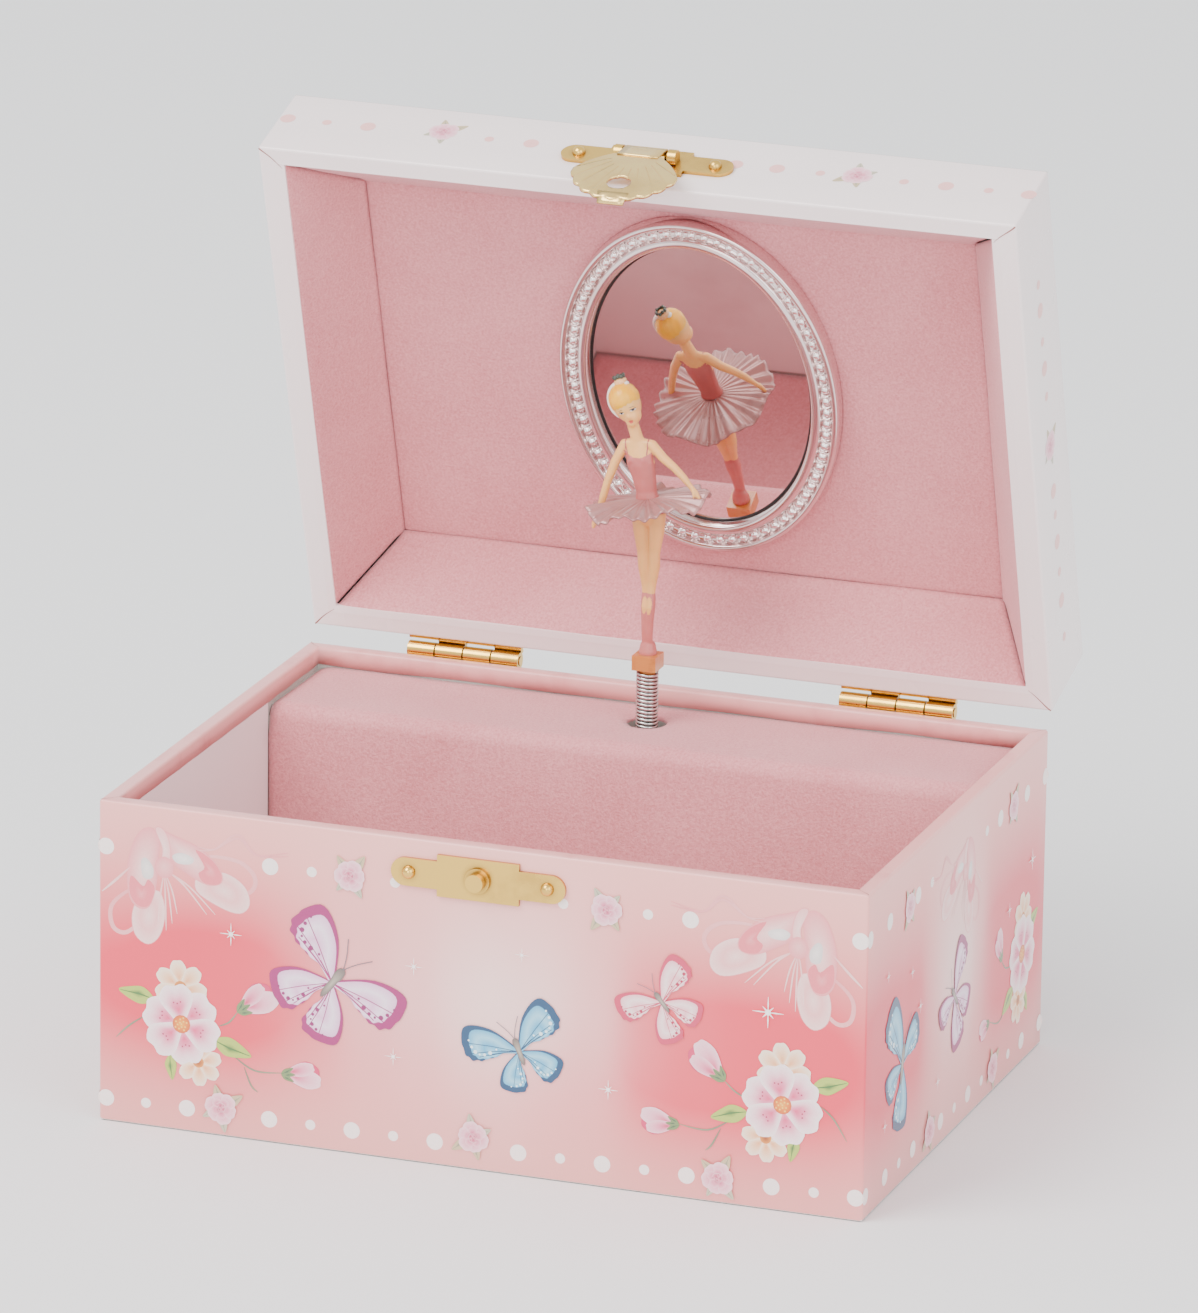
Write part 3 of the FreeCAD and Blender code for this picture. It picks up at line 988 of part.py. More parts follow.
# ---------------------------------------------------------------- finish
doc.recompute()
for obj in doc.Objects:
    if {"Invalid", "Error"} & set(obj.State):
        raise RuntimeError(f"{obj.Label} did not recompute: {obj.State}")
os.makedirs("parts", exist_ok=True)
for obj in nodes:
    if obj.Shape.isNull() or not obj.Shape.isValid() or not obj.Shape.Solids:
        raise RuntimeError(f"{obj.Label} has no valid solid")
for obj in nodes:
    obj.Shape.exportStep(f"parts/{obj.Label}.step")
print(len(nodes), "nodes")
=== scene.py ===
import json
import math

import bmesh
import bpy
from mathutils import Matrix, Vector, noise
from mathutils.bvhtree import BVHTree


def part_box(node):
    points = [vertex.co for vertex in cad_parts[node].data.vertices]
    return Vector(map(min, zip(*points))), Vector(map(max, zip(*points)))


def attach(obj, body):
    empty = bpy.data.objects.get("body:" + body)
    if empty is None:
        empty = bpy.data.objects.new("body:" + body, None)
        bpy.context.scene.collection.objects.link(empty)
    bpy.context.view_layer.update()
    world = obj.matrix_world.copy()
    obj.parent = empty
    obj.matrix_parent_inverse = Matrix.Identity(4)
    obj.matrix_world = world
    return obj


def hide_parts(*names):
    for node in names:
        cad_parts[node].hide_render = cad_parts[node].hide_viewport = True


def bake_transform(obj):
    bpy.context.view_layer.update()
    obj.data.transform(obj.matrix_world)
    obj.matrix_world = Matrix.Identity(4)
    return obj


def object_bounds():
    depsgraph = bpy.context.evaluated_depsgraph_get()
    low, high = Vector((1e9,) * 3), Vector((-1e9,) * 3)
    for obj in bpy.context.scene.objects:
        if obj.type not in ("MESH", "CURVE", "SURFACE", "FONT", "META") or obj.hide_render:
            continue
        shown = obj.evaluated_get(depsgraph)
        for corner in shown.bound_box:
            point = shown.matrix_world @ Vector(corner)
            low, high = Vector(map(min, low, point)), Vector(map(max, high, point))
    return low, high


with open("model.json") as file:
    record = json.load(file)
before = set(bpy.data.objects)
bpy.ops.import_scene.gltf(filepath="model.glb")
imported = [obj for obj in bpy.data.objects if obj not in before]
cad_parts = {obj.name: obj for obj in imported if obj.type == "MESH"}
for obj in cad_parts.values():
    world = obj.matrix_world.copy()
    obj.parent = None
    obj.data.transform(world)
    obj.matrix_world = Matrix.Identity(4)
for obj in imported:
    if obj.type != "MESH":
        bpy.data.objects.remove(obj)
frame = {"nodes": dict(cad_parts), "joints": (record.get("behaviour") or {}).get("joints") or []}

# A wind up music box: a papered board casket with a velvet lining, an oval mirror in the
# lid and a dancer on a spring. Metres throughout; the lid's pieces are drawn shut, then opened.

for spare in ("Cube", "Light", "Camera"):
    if spare in bpy.data.objects:
        bpy.data.objects.remove(bpy.data.objects[spare], do_unlink=True)
cad_low, cad_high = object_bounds()
MM = 0.001
nodes = frame["nodes"]
joints = {joint["name"]: joint for joint in frame["joints"]}

# ------------------------------------------------------------ floor, light and camera
# A pale table, a large soft light over the left shoulder, a weaker one from the right,
# and a long lens looking down a little from the front right corner.


def feed(tree, socket, value):
    """Give a socket a value or another node's socket."""
    if isinstance(value, bpy.types.NodeSocket):
        tree.links.new(value, socket)
    else:
        socket.default_value = value


def add(tree, kind, inputs=None, **settings):
    """A node with its settings and inputs."""
    made = tree.nodes.new(kind)
    for key, value in settings.items():
        setattr(made, key, value)
    for key, value in (inputs or {}).items():
        feed(tree, made.inputs[key], value)
    return made


def placed(name, data):
    """A new object in the scene."""
    made = bpy.data.objects.new(name, data)
    bpy.context.collection.objects.link(made)
    return made


def finish(name, **values):
    """A new material and its Principled shader, with plain values on the shader's sockets."""
    material = bpy.data.materials.new(name)
    material.use_nodes = True
    shader = material.node_tree.nodes["Principled BSDF"]
    for key, value in values.items():
        shader.inputs[key.replace("_", " ")].default_value = value
    return material, material.node_tree, shader


def shade(red, green, blue):
    """A linear colour from the everyday 0 to 255 scale."""
    def line(c):
        c /= 255
        return c / 12.92 if c <= 0.04045 else ((c + 0.055) / 1.055) ** 2.4
    return line(red), line(green), line(blue), 1.0


middle = (cad_low + cad_high) / 2
floor_mesh = bpy.data.meshes.new("floor")
REACH, UNDER = 6.0, 0.2 * MM
floor_mesh.from_pydata([(x * REACH, y * REACH, 0) for x, y in ((-1, -1), (1, -1), (1, 1), (-1, 1))], [],
                       [(0, 1, 2, 3)])
floor = placed("floor", floor_mesh)
floor.location.z = cad_low.z - UNDER
table, _, _ = finish("table", Base_Color=shade(236, 236, 236), Roughness=0.75)
floor_mesh.materials.append(table)

LIGHTS = {
    "key": ((-0.75, -0.95, 1.55), 1.1, 36.0, (1.0, 0.985, 0.97)),
    "fill": ((1.5, -0.9, 0.9), 1.3, 14.5, (0.97, 0.985, 1.0)),
    "front": ((0.3, -1.9, 0.75), 1.0, 11.5, (1.0, 1.0, 1.0)),
}
for name, (spot, size, power, tint) in LIGHTS.items():
    lamp = bpy.data.lights.new(name, "AREA")
    lamp.energy, lamp.size, lamp.color = power, size, tint
    holder = placed(name, lamp)
    holder.location = spot
    holder.rotation_euler = (middle - Vector(spot)).to_track_quat("-Z", "Y").to_euler()
world = bpy.data.worlds.new("studio")
bpy.context.scene.world = world
world.use_nodes = True
world.node_tree.nodes["Background"].inputs["Color"].default_value = (0.94, 0.95, 0.97, 1)
world.node_tree.nodes["Background"].inputs["Strength"].default_value = 1.5

LENS_MM, SENSOR_MM, FARTHEST = 299.3, 36, 20
EYE = Vector((0.6552, -1.8310, 0.6838))
YAW, PITCH, ROLL = math.radians(19.59), math.radians(17.15), math.radians(0.78)
ahead = Vector((-math.sin(YAW) * math.cos(PITCH), math.cos(YAW) * math.cos(PITCH), -math.sin(PITCH)))
side = Vector((math.cos(YAW), math.sin(YAW), 0))
lift = side.cross(ahead)
right = side * math.cos(ROLL) + lift * math.sin(ROLL)
upward = lift * math.cos(ROLL) - side * math.sin(ROLL)
lens = bpy.data.cameras.new("camera")
lens.sensor_width, lens.lens, lens.clip_end = SENSOR_MM, LENS_MM, FARTHEST
camera = placed("camera", lens)
camera.matrix_world = Matrix.Translation(EYE) @ Matrix((right, upward, -ahead)).transposed().to_4x4()
bpy.context.scene.camera = camera

# ------------------------------------------------------------ base: the grey boards
# Stiff grey board with fibres and flecks, glued at the corners and covered by the paper
# wrap. The partition and the deck are of the same board, under the velvet.


def effect(name, inputs, outputs):
    """A shader node group with named inputs and outputs."""
    group = bpy.data.node_groups.new(name, "ShaderNodeTree")
    for label, value in inputs.items():
        kind = "NodeSocketColor" if isinstance(value, tuple) else "NodeSocketFloat"
        group.interface.new_socket(label, in_out="INPUT", socket_type=kind).default_value = value
    for label, kind in outputs.items():
        group.interface.new_socket(label, in_out="OUTPUT", socket_type=kind)
    return group, group.nodes.new("NodeGroupInput"), group.nodes.new("NodeGroupOutput")


# Handled surface: gloss that varies in patches, a fine grain in the relief, and a mask of wear.
handled, ins, outs = effect(
    "Handled Surface",
    {"Patch Scale": 40.0, "Gloss Low": 0.25, "Gloss High": 0.4, "Grain Scale": 900.0, "Grain Depth": 0.1},
    {"Roughness": "NodeSocketFloat", "Normal": "NodeSocketVector", "Wear": "NodeSocketFloat"})
place = add(handled, "ShaderNodeTexCoord")
patches = add(handled, "ShaderNodeTexNoise",
              {"Vector": place.outputs["Object"], "Scale": ins.outputs["Patch Scale"],
                                              "Detail": 5.0, "Roughness": 0.6})
spread = add(handled, "ShaderNodeMapRange",
             {"Value": patches.outputs["Fac"], "From Min": 0.3, "From Max": 0.7,
                                             "To Min": ins.outputs["Gloss Low"],
              "To Max": ins.outputs["Gloss High"]})
grain = add(handled, "ShaderNodeTexNoise",
            {"Vector": place.outputs["Object"], "Scale": ins.outputs["Grain Scale"],
                                            "Detail": 3.0})
relief = add(handled, "ShaderNodeBump", {"Strength": ins.outputs["Grain Depth"], "Distance": 0.0002,
                                         "Height": grain.outputs["Fac"]})
worn = add(handled, "ShaderNodeMapRange",
           {"Value": patches.outputs["Fac"], "From Min": 0.55, "From Max": 0.75})
handled.links.new(spread.outputs["Result"], outs.inputs["Roughness"])
handled.links.new(relief.outputs["Normal"], outs.inputs["Normal"])
handled.links.new(worn.outputs["Result"], outs.inputs["Wear"])


def handle(tree, shader, patch, low, high, grain_scale, depth):
    """Place the Handled Surface group on a shader and return it."""
    used = add(tree, "ShaderNodeGroup", node_tree=handled)
    for label, value in zip(("Patch Scale", "Gloss Low", "Gloss High", "Grain Scale", "Grain Depth"),
                            (patch, low, high, grain_scale, depth)):
        used.inputs[label].default_value = value
    tree.links.new(used.outputs["Roughness"], shader.inputs["Roughness"])
    tree.links.new(used.outputs["Normal"], shader.inputs["Normal"])
    return used


def mixed(tree, factor, one, two, **settings):
    """Two colours mixed by a factor; each is a value or a socket."""
    mix = add(tree, "ShaderNodeMix", data_type="RGBA", **settings)
    sockets = [mix.inputs["Factor"]] + [socket for socket in mix.inputs if socket.type == "RGBA"]
    for socket, value in zip(sockets, (factor, one, two)):
        feed(tree, socket, value)
    return next(socket for socket in mix.outputs if socket.type == "RGBA")


def two_tone(tree, shader, factor, one, two):
    """Mix two colours by a mask into the shader's colour."""
    tree.links.new(mixed(tree, factor, one, two), shader.inputs["Base Color"])


greyboard, tree, shader = finish("greyboard")
surface = handle(tree, shader, 120, 0.85, 0.95, 1500, 0.5)
place = add(tree, "ShaderNodeTexCoord")
flecks = add(tree, "ShaderNodeTexNoise", {"Vector": place.outputs["Object"], "Scale": 700.0, "Detail": 6.0,
                                          "Roughness": 0.75})
two_tone(tree, shader, flecks.outputs["Fac"], shade(150, 146, 138), shade(205, 201, 193))


def dress(material, *names):
    """Give carried-over CAD nodes their finish, whatever slots they have."""
    for name in names:
        for slot in nodes[name].material_slots:
            slot.material = material
        if not nodes[name].material_slots:
            nodes[name].data.materials.append(material)


dress(greyboard, "base_front_wall", "base_back_wall", "base_left_wall", "base_right_wall", "base_floor",
      "partition_board", "deck_board", "lid_top_board", "lid_front_wall", "lid_back_wall", "lid_left_wall",
      "lid_right_wall")


def worn_finish(name, surface, one, two, **values):
    """A handled surface that is two colours, mixed by its wear. Surface is patch scale, lowest
    and highest roughness, grain scale and grain depth."""
    material, tree, shader = finish(name, **values)
    wear = handle(tree, shader, *surface).outputs["Wear"]
    two_tone(tree, shader, wear, one, two)
    return material


bottom = worn_finish("bottom_sheet", (60, 0.6, 0.8, 1200, 0.3), shade(238, 232, 226), shade(222, 212, 204))
dress(bottom, "base_bottom_sheet")

# ------------------------------------------------------------ base: the printed wrap
# One sheet of gloss laminated paper round the four walls, folded over the rim and glued
# down inside it, its raw edge a little torn. Hot pink cloud fading to cream, mitred corners.
# No holes are cut in this sheet: the winding arbor and the screws go straight through it.
box_low, box_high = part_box("base_wrap")
WIDTH, DEPTH, TALL = box_high.x - box_low.x, box_high.y - box_low.y, box_high.z
PAPER = 0.22 * MM
WALL = 3.0 * MM
TURN_IN = 3.4 * MM
CORNER = 0.55 * MM


def new_piece(name, mesh, body, material=None, smooth=True):
    """Link a finished mesh as a piece on a body and material."""
    piece = placed(name, mesh)
    if material:
        mesh.materials.clear()
        mesh.materials.append(material)
    for face in mesh.polygons:
        face.use_smooth = smooth
    if body:
        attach(piece, body)
    return piece


def solid_mesh(name, spots, faces, weld=None, slivers=None):
    """A closed mesh with its normals outward; 'weld' joins points that lie that close."""
    mesh = bpy.data.meshes.new(name)
    mesh.from_pydata(spots, [], faces)
    work = bmesh.new()
    work.from_mesh(mesh)
    if weld:
        bmesh.ops.remove_doubles(work, verts=work.verts, dist=weld)
    if slivers:
        bmesh.ops.dissolve_degenerate(work, dist=slivers, edges=work.edges)
    bmesh.ops.recalc_face_normals(work, faces=work.faces)
    work.to_mesh(mesh)
    work.free()
    return mesh


def wrap_shell(profile, half_x, half_y, corner, facets=5, steps=24, wobble=None):
    """Sweep a closed section round a box. Section points are (outward, height); inside the
    corner radius the stops meet on the mitre, so the inner edge stays sharp."""
    ring = []
    corners = [(1, -1, -90), (1, 1, 0), (-1, 1, 90), (-1, -1, 180)]
    for n, (sx, sy, start) in enumerate(corners):
        for k in range(facets + 1):
            turn = math.radians(start + 90 * k / facets)
            ring.append((sx, sy, math.cos(turn), math.sin(turn), None))
        nx, ny, _ = corners[(n + 1) % 4]
        for k in range(1, steps):
            ring.append((sx, sy, nx, ny, k / steps))
    verts = []

    def corner_point(sx, sy, cx, cy, out):
        mid = Vector((sx * (half_x - corner), sy * (half_y - corner)))
        if corner + out >= 0:
            return mid + Vector((cx, cy)) * (corner + out)
        return mid + Vector((sx, sy)) * (corner + out)

    for sx, sy, cx, cy, share in ring:
        for k, (out, height) in enumerate(profile):
            if share is None:
                spot = corner_point(sx, sy, cx, cy, out)
            else:
                flat = (sx, 0) if sx == cx else (0, sy)
                a = corner_point(sx, sy, flat[0], flat[1], out)
                b = corner_point(cx, cy, flat[0], flat[1], out)
                spot = a.lerp(b, share)
            drop = wobble(k, spot) if wobble else 0.0
            verts.append((spot.x, spot.y, height + drop))
    count, size = len(ring), len(profile)
    faces = []
    for i in range(count):
        j = (i + 1) % count
        for k in range(size):
            m = (k + 1) % size
            faces.append((i * size + k, j * size + k, j * size + m, i * size + m))
    return solid_mesh("wrap", verts, faces, weld=0.01 * MM)


def wrap_map(mesh, half_x, half_y, undo=None):
    """UV in metres round the box: the face's middle is its origin, and v is the height.
    The map's whole part says which face it is: 0 front, 1 right, 2 back, 3 left."""
    layer = mesh.uv_layers.new(name="Wrap")
    for face in mesh.polygons:
        normal = face.normal
        if undo:
            normal = undo.to_3x3() @ normal
        ways = (-normal.y, normal.x, normal.y, -normal.x)
        n = max(range(4), key=lambda i: ways[i])
        for loop in face.loop_indices:
            spot = mesh.vertices[mesh.loops[loop].vertex_index].co
            if undo:
                spot = undo @ spot
            u = (spot.x, spot.y, -spot.x, -spot.y)[n]
            half = (half_x, half_y)[n % 2]
            layer.data[loop].uv = (n * 1.0 + 0.5 + u / half * 0.45, spot.z)


def rounded(x, z, radius, angles):
    """Points of an arc about a centre."""
    return [(x + radius * math.cos(math.radians(a)), z + radius * math.sin(math.radians(a))) for a in angles]


# Section of the base's paper: up the outside, over the rim and into the box, then back
# inside its own thickness to the foot.
bend = rounded(-CORNER, TALL - CORNER, CORNER, (0, 22, 45, 68, 90))
lip = [(-WALL + 0.5 * MM * (1 - math.sin(math.radians(a))), TALL - 0.5 * MM * (1 - math.cos(math.radians(a))))
       for a in (0, 30, 60, 90)]
outside = [(0.0, 0.35 * MM), (0.0, 15 * MM), (0.0, 31 * MM), (0.0, 47 * MM)] + bend + lip
section = outside + [(-WALL, TALL - TURN_IN), (-WALL + PAPER, TALL - TURN_IN),
                     (-WALL + PAPER, TALL - 0.7 * MM), (-PAPER - 0.3 * MM, TALL - PAPER),
                     (-PAPER, TALL - 0.8 * MM),
                     (-PAPER, 0.4 * MM), (-1.0 * MM, 0.25 * MM), (-1.0 * MM, 0.0), (-0.25 * MM, 0.0)]
TORN = (len(outside), len(outside) + 1)


def torn_edge(k, spot):
    """How far the raw edge wanders up or down."""
    if k not in TORN:
        return 0.0
    along = spot.x + spot.y * 1.7
    return 0.10 * MM * math.sin(along * 900) + 0.08 * MM * math.sin(along * 2300 + 1.0)


wrap_mesh = wrap_shell(section, WIDTH / 2, DEPTH / 2, CORNER, wobble=torn_edge)
wrap_map(wrap_mesh, WIDTH / 2, DEPTH / 2)


def math_node(tree, operation, a, b=0.0, c=0.0):
    """A sum on values or sockets."""
    made = tree.nodes.new("ShaderNodeMath")
    made.operation = operation
    for socket, value in zip(made.inputs, (a, b, c)):
        feed(tree, socket, value)
    return made.outputs[0]


def bump_round(tree, x, y, mid_x, mid_y, half_x, half_y):
    """A soft round cloud: one at its middle, nothing outside its half widths."""
    dx = math_node(tree, "DIVIDE", math_node(tree, "SUBTRACT", x, mid_x), half_x)
    dy = math_node(tree, "DIVIDE", math_node(tree, "SUBTRACT", y, mid_y), half_y)
    away = math_node(tree, "ADD", math_node(tree, "MULTIPLY", dx, dx), math_node(tree, "MULTIPLY", dy, dy))
    return math_node(tree, "POWER", 2.718, math_node(tree, "MULTIPLY", away, -1.0))


# Middle and half widths of each cloud, as shares of the face.
LEFT_CLOUD, RIGHT_CLOUD = (0.16, 0.46, 0.27, 0.32), (0.80, 0.44, 0.27, 0.32)
PALE_GLOW = (0.51, 0.52, 0.15, 0.32)


def printed_cloud(name, cream, pink, glow, pink_amount, glow_amount, tall):
    """Laminated paper printed with a pink cloud either side of a pale glow, cream at the edges."""
    material, tree, shader = finish(name, Coat_Weight=0.5, Coat_Roughness=0.12, Coat_IOR=1.45)
    handle(tree, shader, 30, 0.34, 0.42, 260, 0.03)
    where = add(tree, "ShaderNodeUVMap", uv_map="Wrap")
    drift = add(tree, "ShaderNodeTexNoise", {"Vector": where.outputs["UV"], "Scale": 5.0, "Detail": 2.0})
    parts = add(tree, "ShaderNodeSeparateXYZ", {"Vector": where.outputs["UV"]})
    face = math_node(tree, "FRACT", parts.outputs["X"])
    sway = math_node(tree, "MULTIPLY_ADD", drift.outputs["Fac"], 0.24, -0.12)
    u = math_node(tree, "ADD", face, sway)
    v = math_node(tree, "DIVIDE", parts.outputs["Y"], tall)
    left, far = bump_round(tree, u, v, *LEFT_CLOUD), bump_round(tree, u, v, *RIGHT_CLOUD)
    hot = math_node(tree, "MINIMUM",
                    math_node(tree, "MULTIPLY", math_node(tree, "ADD", left, far), pink_amount), 1.0)
    bright = math_node(tree, "MULTIPLY", bump_round(tree, u, v, *PALE_GLOW), glow_amount)
    two_tone(tree, shader, bright, mixed(tree, hot, cream, pink), glow)
    return material


printed_paper = printed_cloud("printed_paper", shade(248, 174, 167), shade(236, 62, 84), shade(252, 218, 213),
                              1.3, 0.85, TALL)
rim_paper = worn_finish("rim_paper", (90, 0.35, 0.5, 300, 0.05), shade(240, 172, 168), shade(226, 150, 148),
                        Coat_Weight=0.4, Coat_Roughness=0.15)
raw_edge = worn_finish("raw_edge", (1200, 0.8, 1.0, 2500, 0.4), shade(178, 128, 112), shade(120, 80, 66),
                       Roughness=0.9)

base_wrap = new_piece("base_wrap_sheet", wrap_mesh, "base", printed_paper)
wrap_mesh.materials.append(rim_paper)
wrap_mesh.materials.append(raw_edge)
for face in wrap_mesh.polygons:
    mid, up = face.center, face.normal.z
    inside = abs(mid.x) < WIDTH / 2 - 1.2 * MM and abs(mid.y) < DEPTH / 2 - 1.2 * MM
    if mid.z > TALL - 0.7 * MM and up > 0.75 or (inside and mid.z > TALL - TURN_IN + 0.2 * MM):
        face.material_index = 1
    if inside and mid.z < TALL - TURN_IN + 0.2 * MM and mid.z > TALL / 2:
        face.material_index = 2
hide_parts("base_wrap")

# The folded corners of the rim: a thin painted shadow on each mitre where the paper laps.
crease_shade = worn_finish("crease", (900, 0.6, 0.8, 900, 0.2), shade(150, 92, 84), shade(205, 140, 130),
                           Roughness=0.7)


def mitre_crease_shadows(name, half_x, half_y, height, band, body, material, matrix=None, wide=0.16 * MM):
    """Slender darts of shadow on the four rim mitres, widest at the outer corner."""
    work = bmesh.new()
    for sx, sy in ((1, 1), (1, -1), (-1, 1), (-1, -1)):
        outer = Vector((sx * (half_x - 0.25 * MM), sy * (half_y - 0.25 * MM), height))
        inner = Vector((sx * (half_x - band[0]), sy * (half_y - band[1]), height))
        across = (inner - outer).cross(Vector((0, 0, 1))).normalized()
        count = 8
        left, right = [], []
        for k in range(count + 1):
            t = k / count
            mid = outer.lerp(inner, t) + across * 0.12 * MM * math.sin(5 * t + sx)
            half = wide * (1 - 0.8 * t) / 2
            left.append(work.verts.new(mid + across * half))
            right.append(work.verts.new(mid - across * half))
        for k in range(count):
            ends = (left[k], left[k + 1], right[k + 1], right[k])
            work.faces.new(ends)
    bmesh.ops.recalc_face_normals(work, faces=work.faces)
    mesh = bpy.data.meshes.new(name)
    work.to_mesh(mesh)
    work.free()
    for face in mesh.polygons:
        if face.normal.z * (1 if height > 0 else -1) < 0 and not matrix:
            face.flip()
    if matrix:
        mesh.transform(matrix)
    return new_piece(name, mesh, body, material, smooth=False)


mitre_crease_shadows("base_rim_creases", WIDTH / 2, DEPTH / 2, TALL + 0.02 * MM, (WALL, WALL), "base", crease_shade)

# ------------------------------------------------------------ base: the printed motifs
# Four colour print on the wrap: rows of cream dots, roses, butterflies, blossom sprays,
# ballet slippers on ribbons and small sparkles. Each is laid as ink, a hair above the sheet.
ink, tree, shader = finish("print_ink", Coat_Weight=0.5, Coat_Roughness=0.12, Coat_IOR=1.45)
handle(tree, shader, 30, 0.34, 0.42, 260, 0.03)
colours = add(tree, "ShaderNodeVertexColor", layer_name="Ink")
place = add(tree, "ShaderNodeTexCoord")
stipple = add(tree, "ShaderNodeTexNoise", {"Vector": place.outputs["Object"], "Scale": 1600.0, "Detail": 2.0})
tone = add(tree, "ShaderNodeMapRange", {"Value": stipple.outputs["Fac"], "To Min": 0.94, "To Max": 1.05})
inked = add(tree, "ShaderNodeVectorMath", {0: colours.outputs["Color"], 1: tone.outputs["Result"]},
            operation="MULTIPLY")
tree.links.new(inked.outputs["Vector"], shader.inputs["Base Color"])

art = {"spots": [], "faces": [], "inks": [], "layer": 0}


def smooth(points, steps=5, closed=True):
    """A soft curve through the points."""
    count, out = len(points), []
    for i in range(count if closed else count - 1):
        p = [points[(i + k) % count] if closed else points[min(max(i + k, 0), count - 1)] for k in (-1, 0, 1,
                                                                                                    2)]
        for s in range(steps):
            t = s / steps
            out.append(tuple(0.5 * (2 * b + (c - a) * t + (2 * a - 5 * b + 4 * c - d) * t * t
                                    + (3 * b - a - 3 * c + d) * t ** 3)
                             for a, b, c, d in zip(*p)))
    if not closed:
        out.append(points[-1])
    return out


def moved(points, at, size=1.0, turn=0.0, flip=1):
    """Points scaled, mirrored, turned and set down, all in millimetres on the sheet."""
    c, s = math.cos(math.radians(turn)), math.sin(math.radians(turn))
    return [(at[0] + (x * flip * c - y * s) * size, at[1] + (x * flip * s + y * c) * size) for x, y in points]


def blot(outline, middle_spot, *inks):
    """Fill an outline round a middle spot; the inks run from the middle to the edge."""
    art["layer"] += 1
    base, rings, count = len(art["spots"]), len(inks) - 1, len(outline)
    art["spots"].append((*middle_spot, art["layer"]))
    art["inks"].append(inks[0])
    for ring in range(1, rings + 1):
        share = ring / rings
        for x, y in outline:
            art["spots"].append((middle_spot[0] + (x - middle_spot[0]) * share,
                                 middle_spot[1] + (y - middle_spot[1]) * share, art["layer"]))
            art["inks"].append(inks[ring])
    for i in range(count):
        j = (i + 1) % count
        art["faces"].append((base, base + 1 + i, base + 1 + j))
        for ring in range(rings - 1):
            a, b = base + 1 + ring * count, base + 1 + (ring + 1) * count
            art["faces"].append((a + i, b + i, b + j, a + j))


def stroke(points, wide, start_ink, end_ink=None, taper=True):
    """A ribbon of ink along a line, thinning to its ends."""
    art["layer"] += 1
    end_ink = end_ink or start_ink
    base, count = len(art["spots"]), len(points)
    for i, (x, y) in enumerate(points):
        a, b = points[max(i - 1, 0)], points[min(i + 1, count - 1)]
        dx, dy = b[0] - a[0], b[1] - a[1]
        long = math.hypot(dx, dy) or 1
        t = i / (count - 1)
        half = wide / 2 * (0.25 + 0.75 * math.sin(math.pi * t) if taper else 1)
        tint = tuple(p + (q - p) * t for p, q in zip(start_ink, end_ink))
        for sign in (1, -1):
            art["spots"].append((x - dy / long * half * sign, y + dx / long * half * sign, art["layer"]))
            art["inks"].append(tint)
    for i in range(count - 1):
        k = base + 2 * i
        art["faces"].append((k, k + 1, k + 3, k + 2))


def round_blot(at, radius, *inks, sides=14):
    """A round spot of ink."""
    blot([(at[0] + radius * math.cos(2 * math.pi * k / sides),
           at[1] + radius * math.sin(2 * math.pi * k / sides))
          for k in range(sides)], at, *inks)


def petal(at, size, turn, wide, *inks, notch=0.0):
    """One petal growing from 'at'."""
    shape = smooth([(0, 0), (wide * 0.6, 0.3), (wide, 0.68), (wide * 0.55, 0.98), (0, 1 - notch),
                    (-wide * 0.55, 0.98), (-wide, 0.68), (-wide * 0.6, 0.3)], 3)
    blot(moved(shape, at, size, turn), moved([(0, 0.35)], at, size, turn)[0], *inks)


def span(start, end):
    """How far it is between two places and the way from one to the other, in degrees."""
    dx, dy = end[0] - start[0], end[1] - start[1]
    return math.hypot(dx, dy), math.degrees(math.atan2(dy, dx))


def leaf(base_spot, tip, wide, dark, light):
    """A pointed leaf from its stalk to its tip, with a dark rib."""
    long, way = span(base_spot, tip)
    turn = way - 90
    shape = smooth([(0, 0), (wide, 0.32), (wide * 0.75, 0.66), (0, 1), (-wide * 0.8, 0.6),
                    (-wide * 0.9, 0.28)], 4)
    blot(moved(shape, base_spot, long, turn), moved([(0.05, 0.45)], base_spot, long, turn)[0], dark, light,
         light)
    stroke(moved([(0, 0.02), (0.03, 0.4), (0, 0.95)], base_spot, long, turn), long * 0.05, dark)


LEAF_DARK, LEAF_LIGHT = shade(78, 118, 60), shade(172, 190, 84)
SAGE_DARK, SAGE_LIGHT = shade(140, 142, 120), shade(190, 182, 158)


def rose(at, size, turn=0.0):
    """A small old rose with grey green leaves."""
    for k, (angle, long) in enumerate(((35, 1.75), (-80, 1.6), (105, 1.55), (-150, 1.4))):
        a = math.radians(angle + turn)
        leaf(moved([(math.cos(a) * 0.5, math.sin(a) * 0.5)], at, size)[0],
             moved([(math.cos(a) * long, math.sin(a) * long)], at, size)[0], 0.26,
             SAGE_DARK, SAGE_LIGHT if k % 2 else shade(198, 176, 140))
    for k in range(6):
        petal(at, size * (0.98 + 0.08 * (k % 2)), turn + 60 * k + 15, 0.50, shade(222, 118, 146),
              shade(240, 168, 186),
              shade(249, 204, 212))
    for k in range(5):
        petal(at, size * 0.68, turn + 72 * k + 40, 0.46, shade(206, 92, 126), shade(232, 144, 168),
              shade(246, 190, 202))
    for k in range(3):
        petal(at, size * 0.42, turn + 120 * k + 10, 0.5, shade(196, 76, 112), shade(238, 160, 178))
    swirl = [(0.06 * n ** 0.8 * math.cos(n * 0.8), 0.06 * n ** 0.8 * math.sin(n * 0.8)) for n in range(12)]
    stroke(moved(swirl, at, size, turn), size * 0.08, shade(190, 70, 106), shade(246, 200, 210))


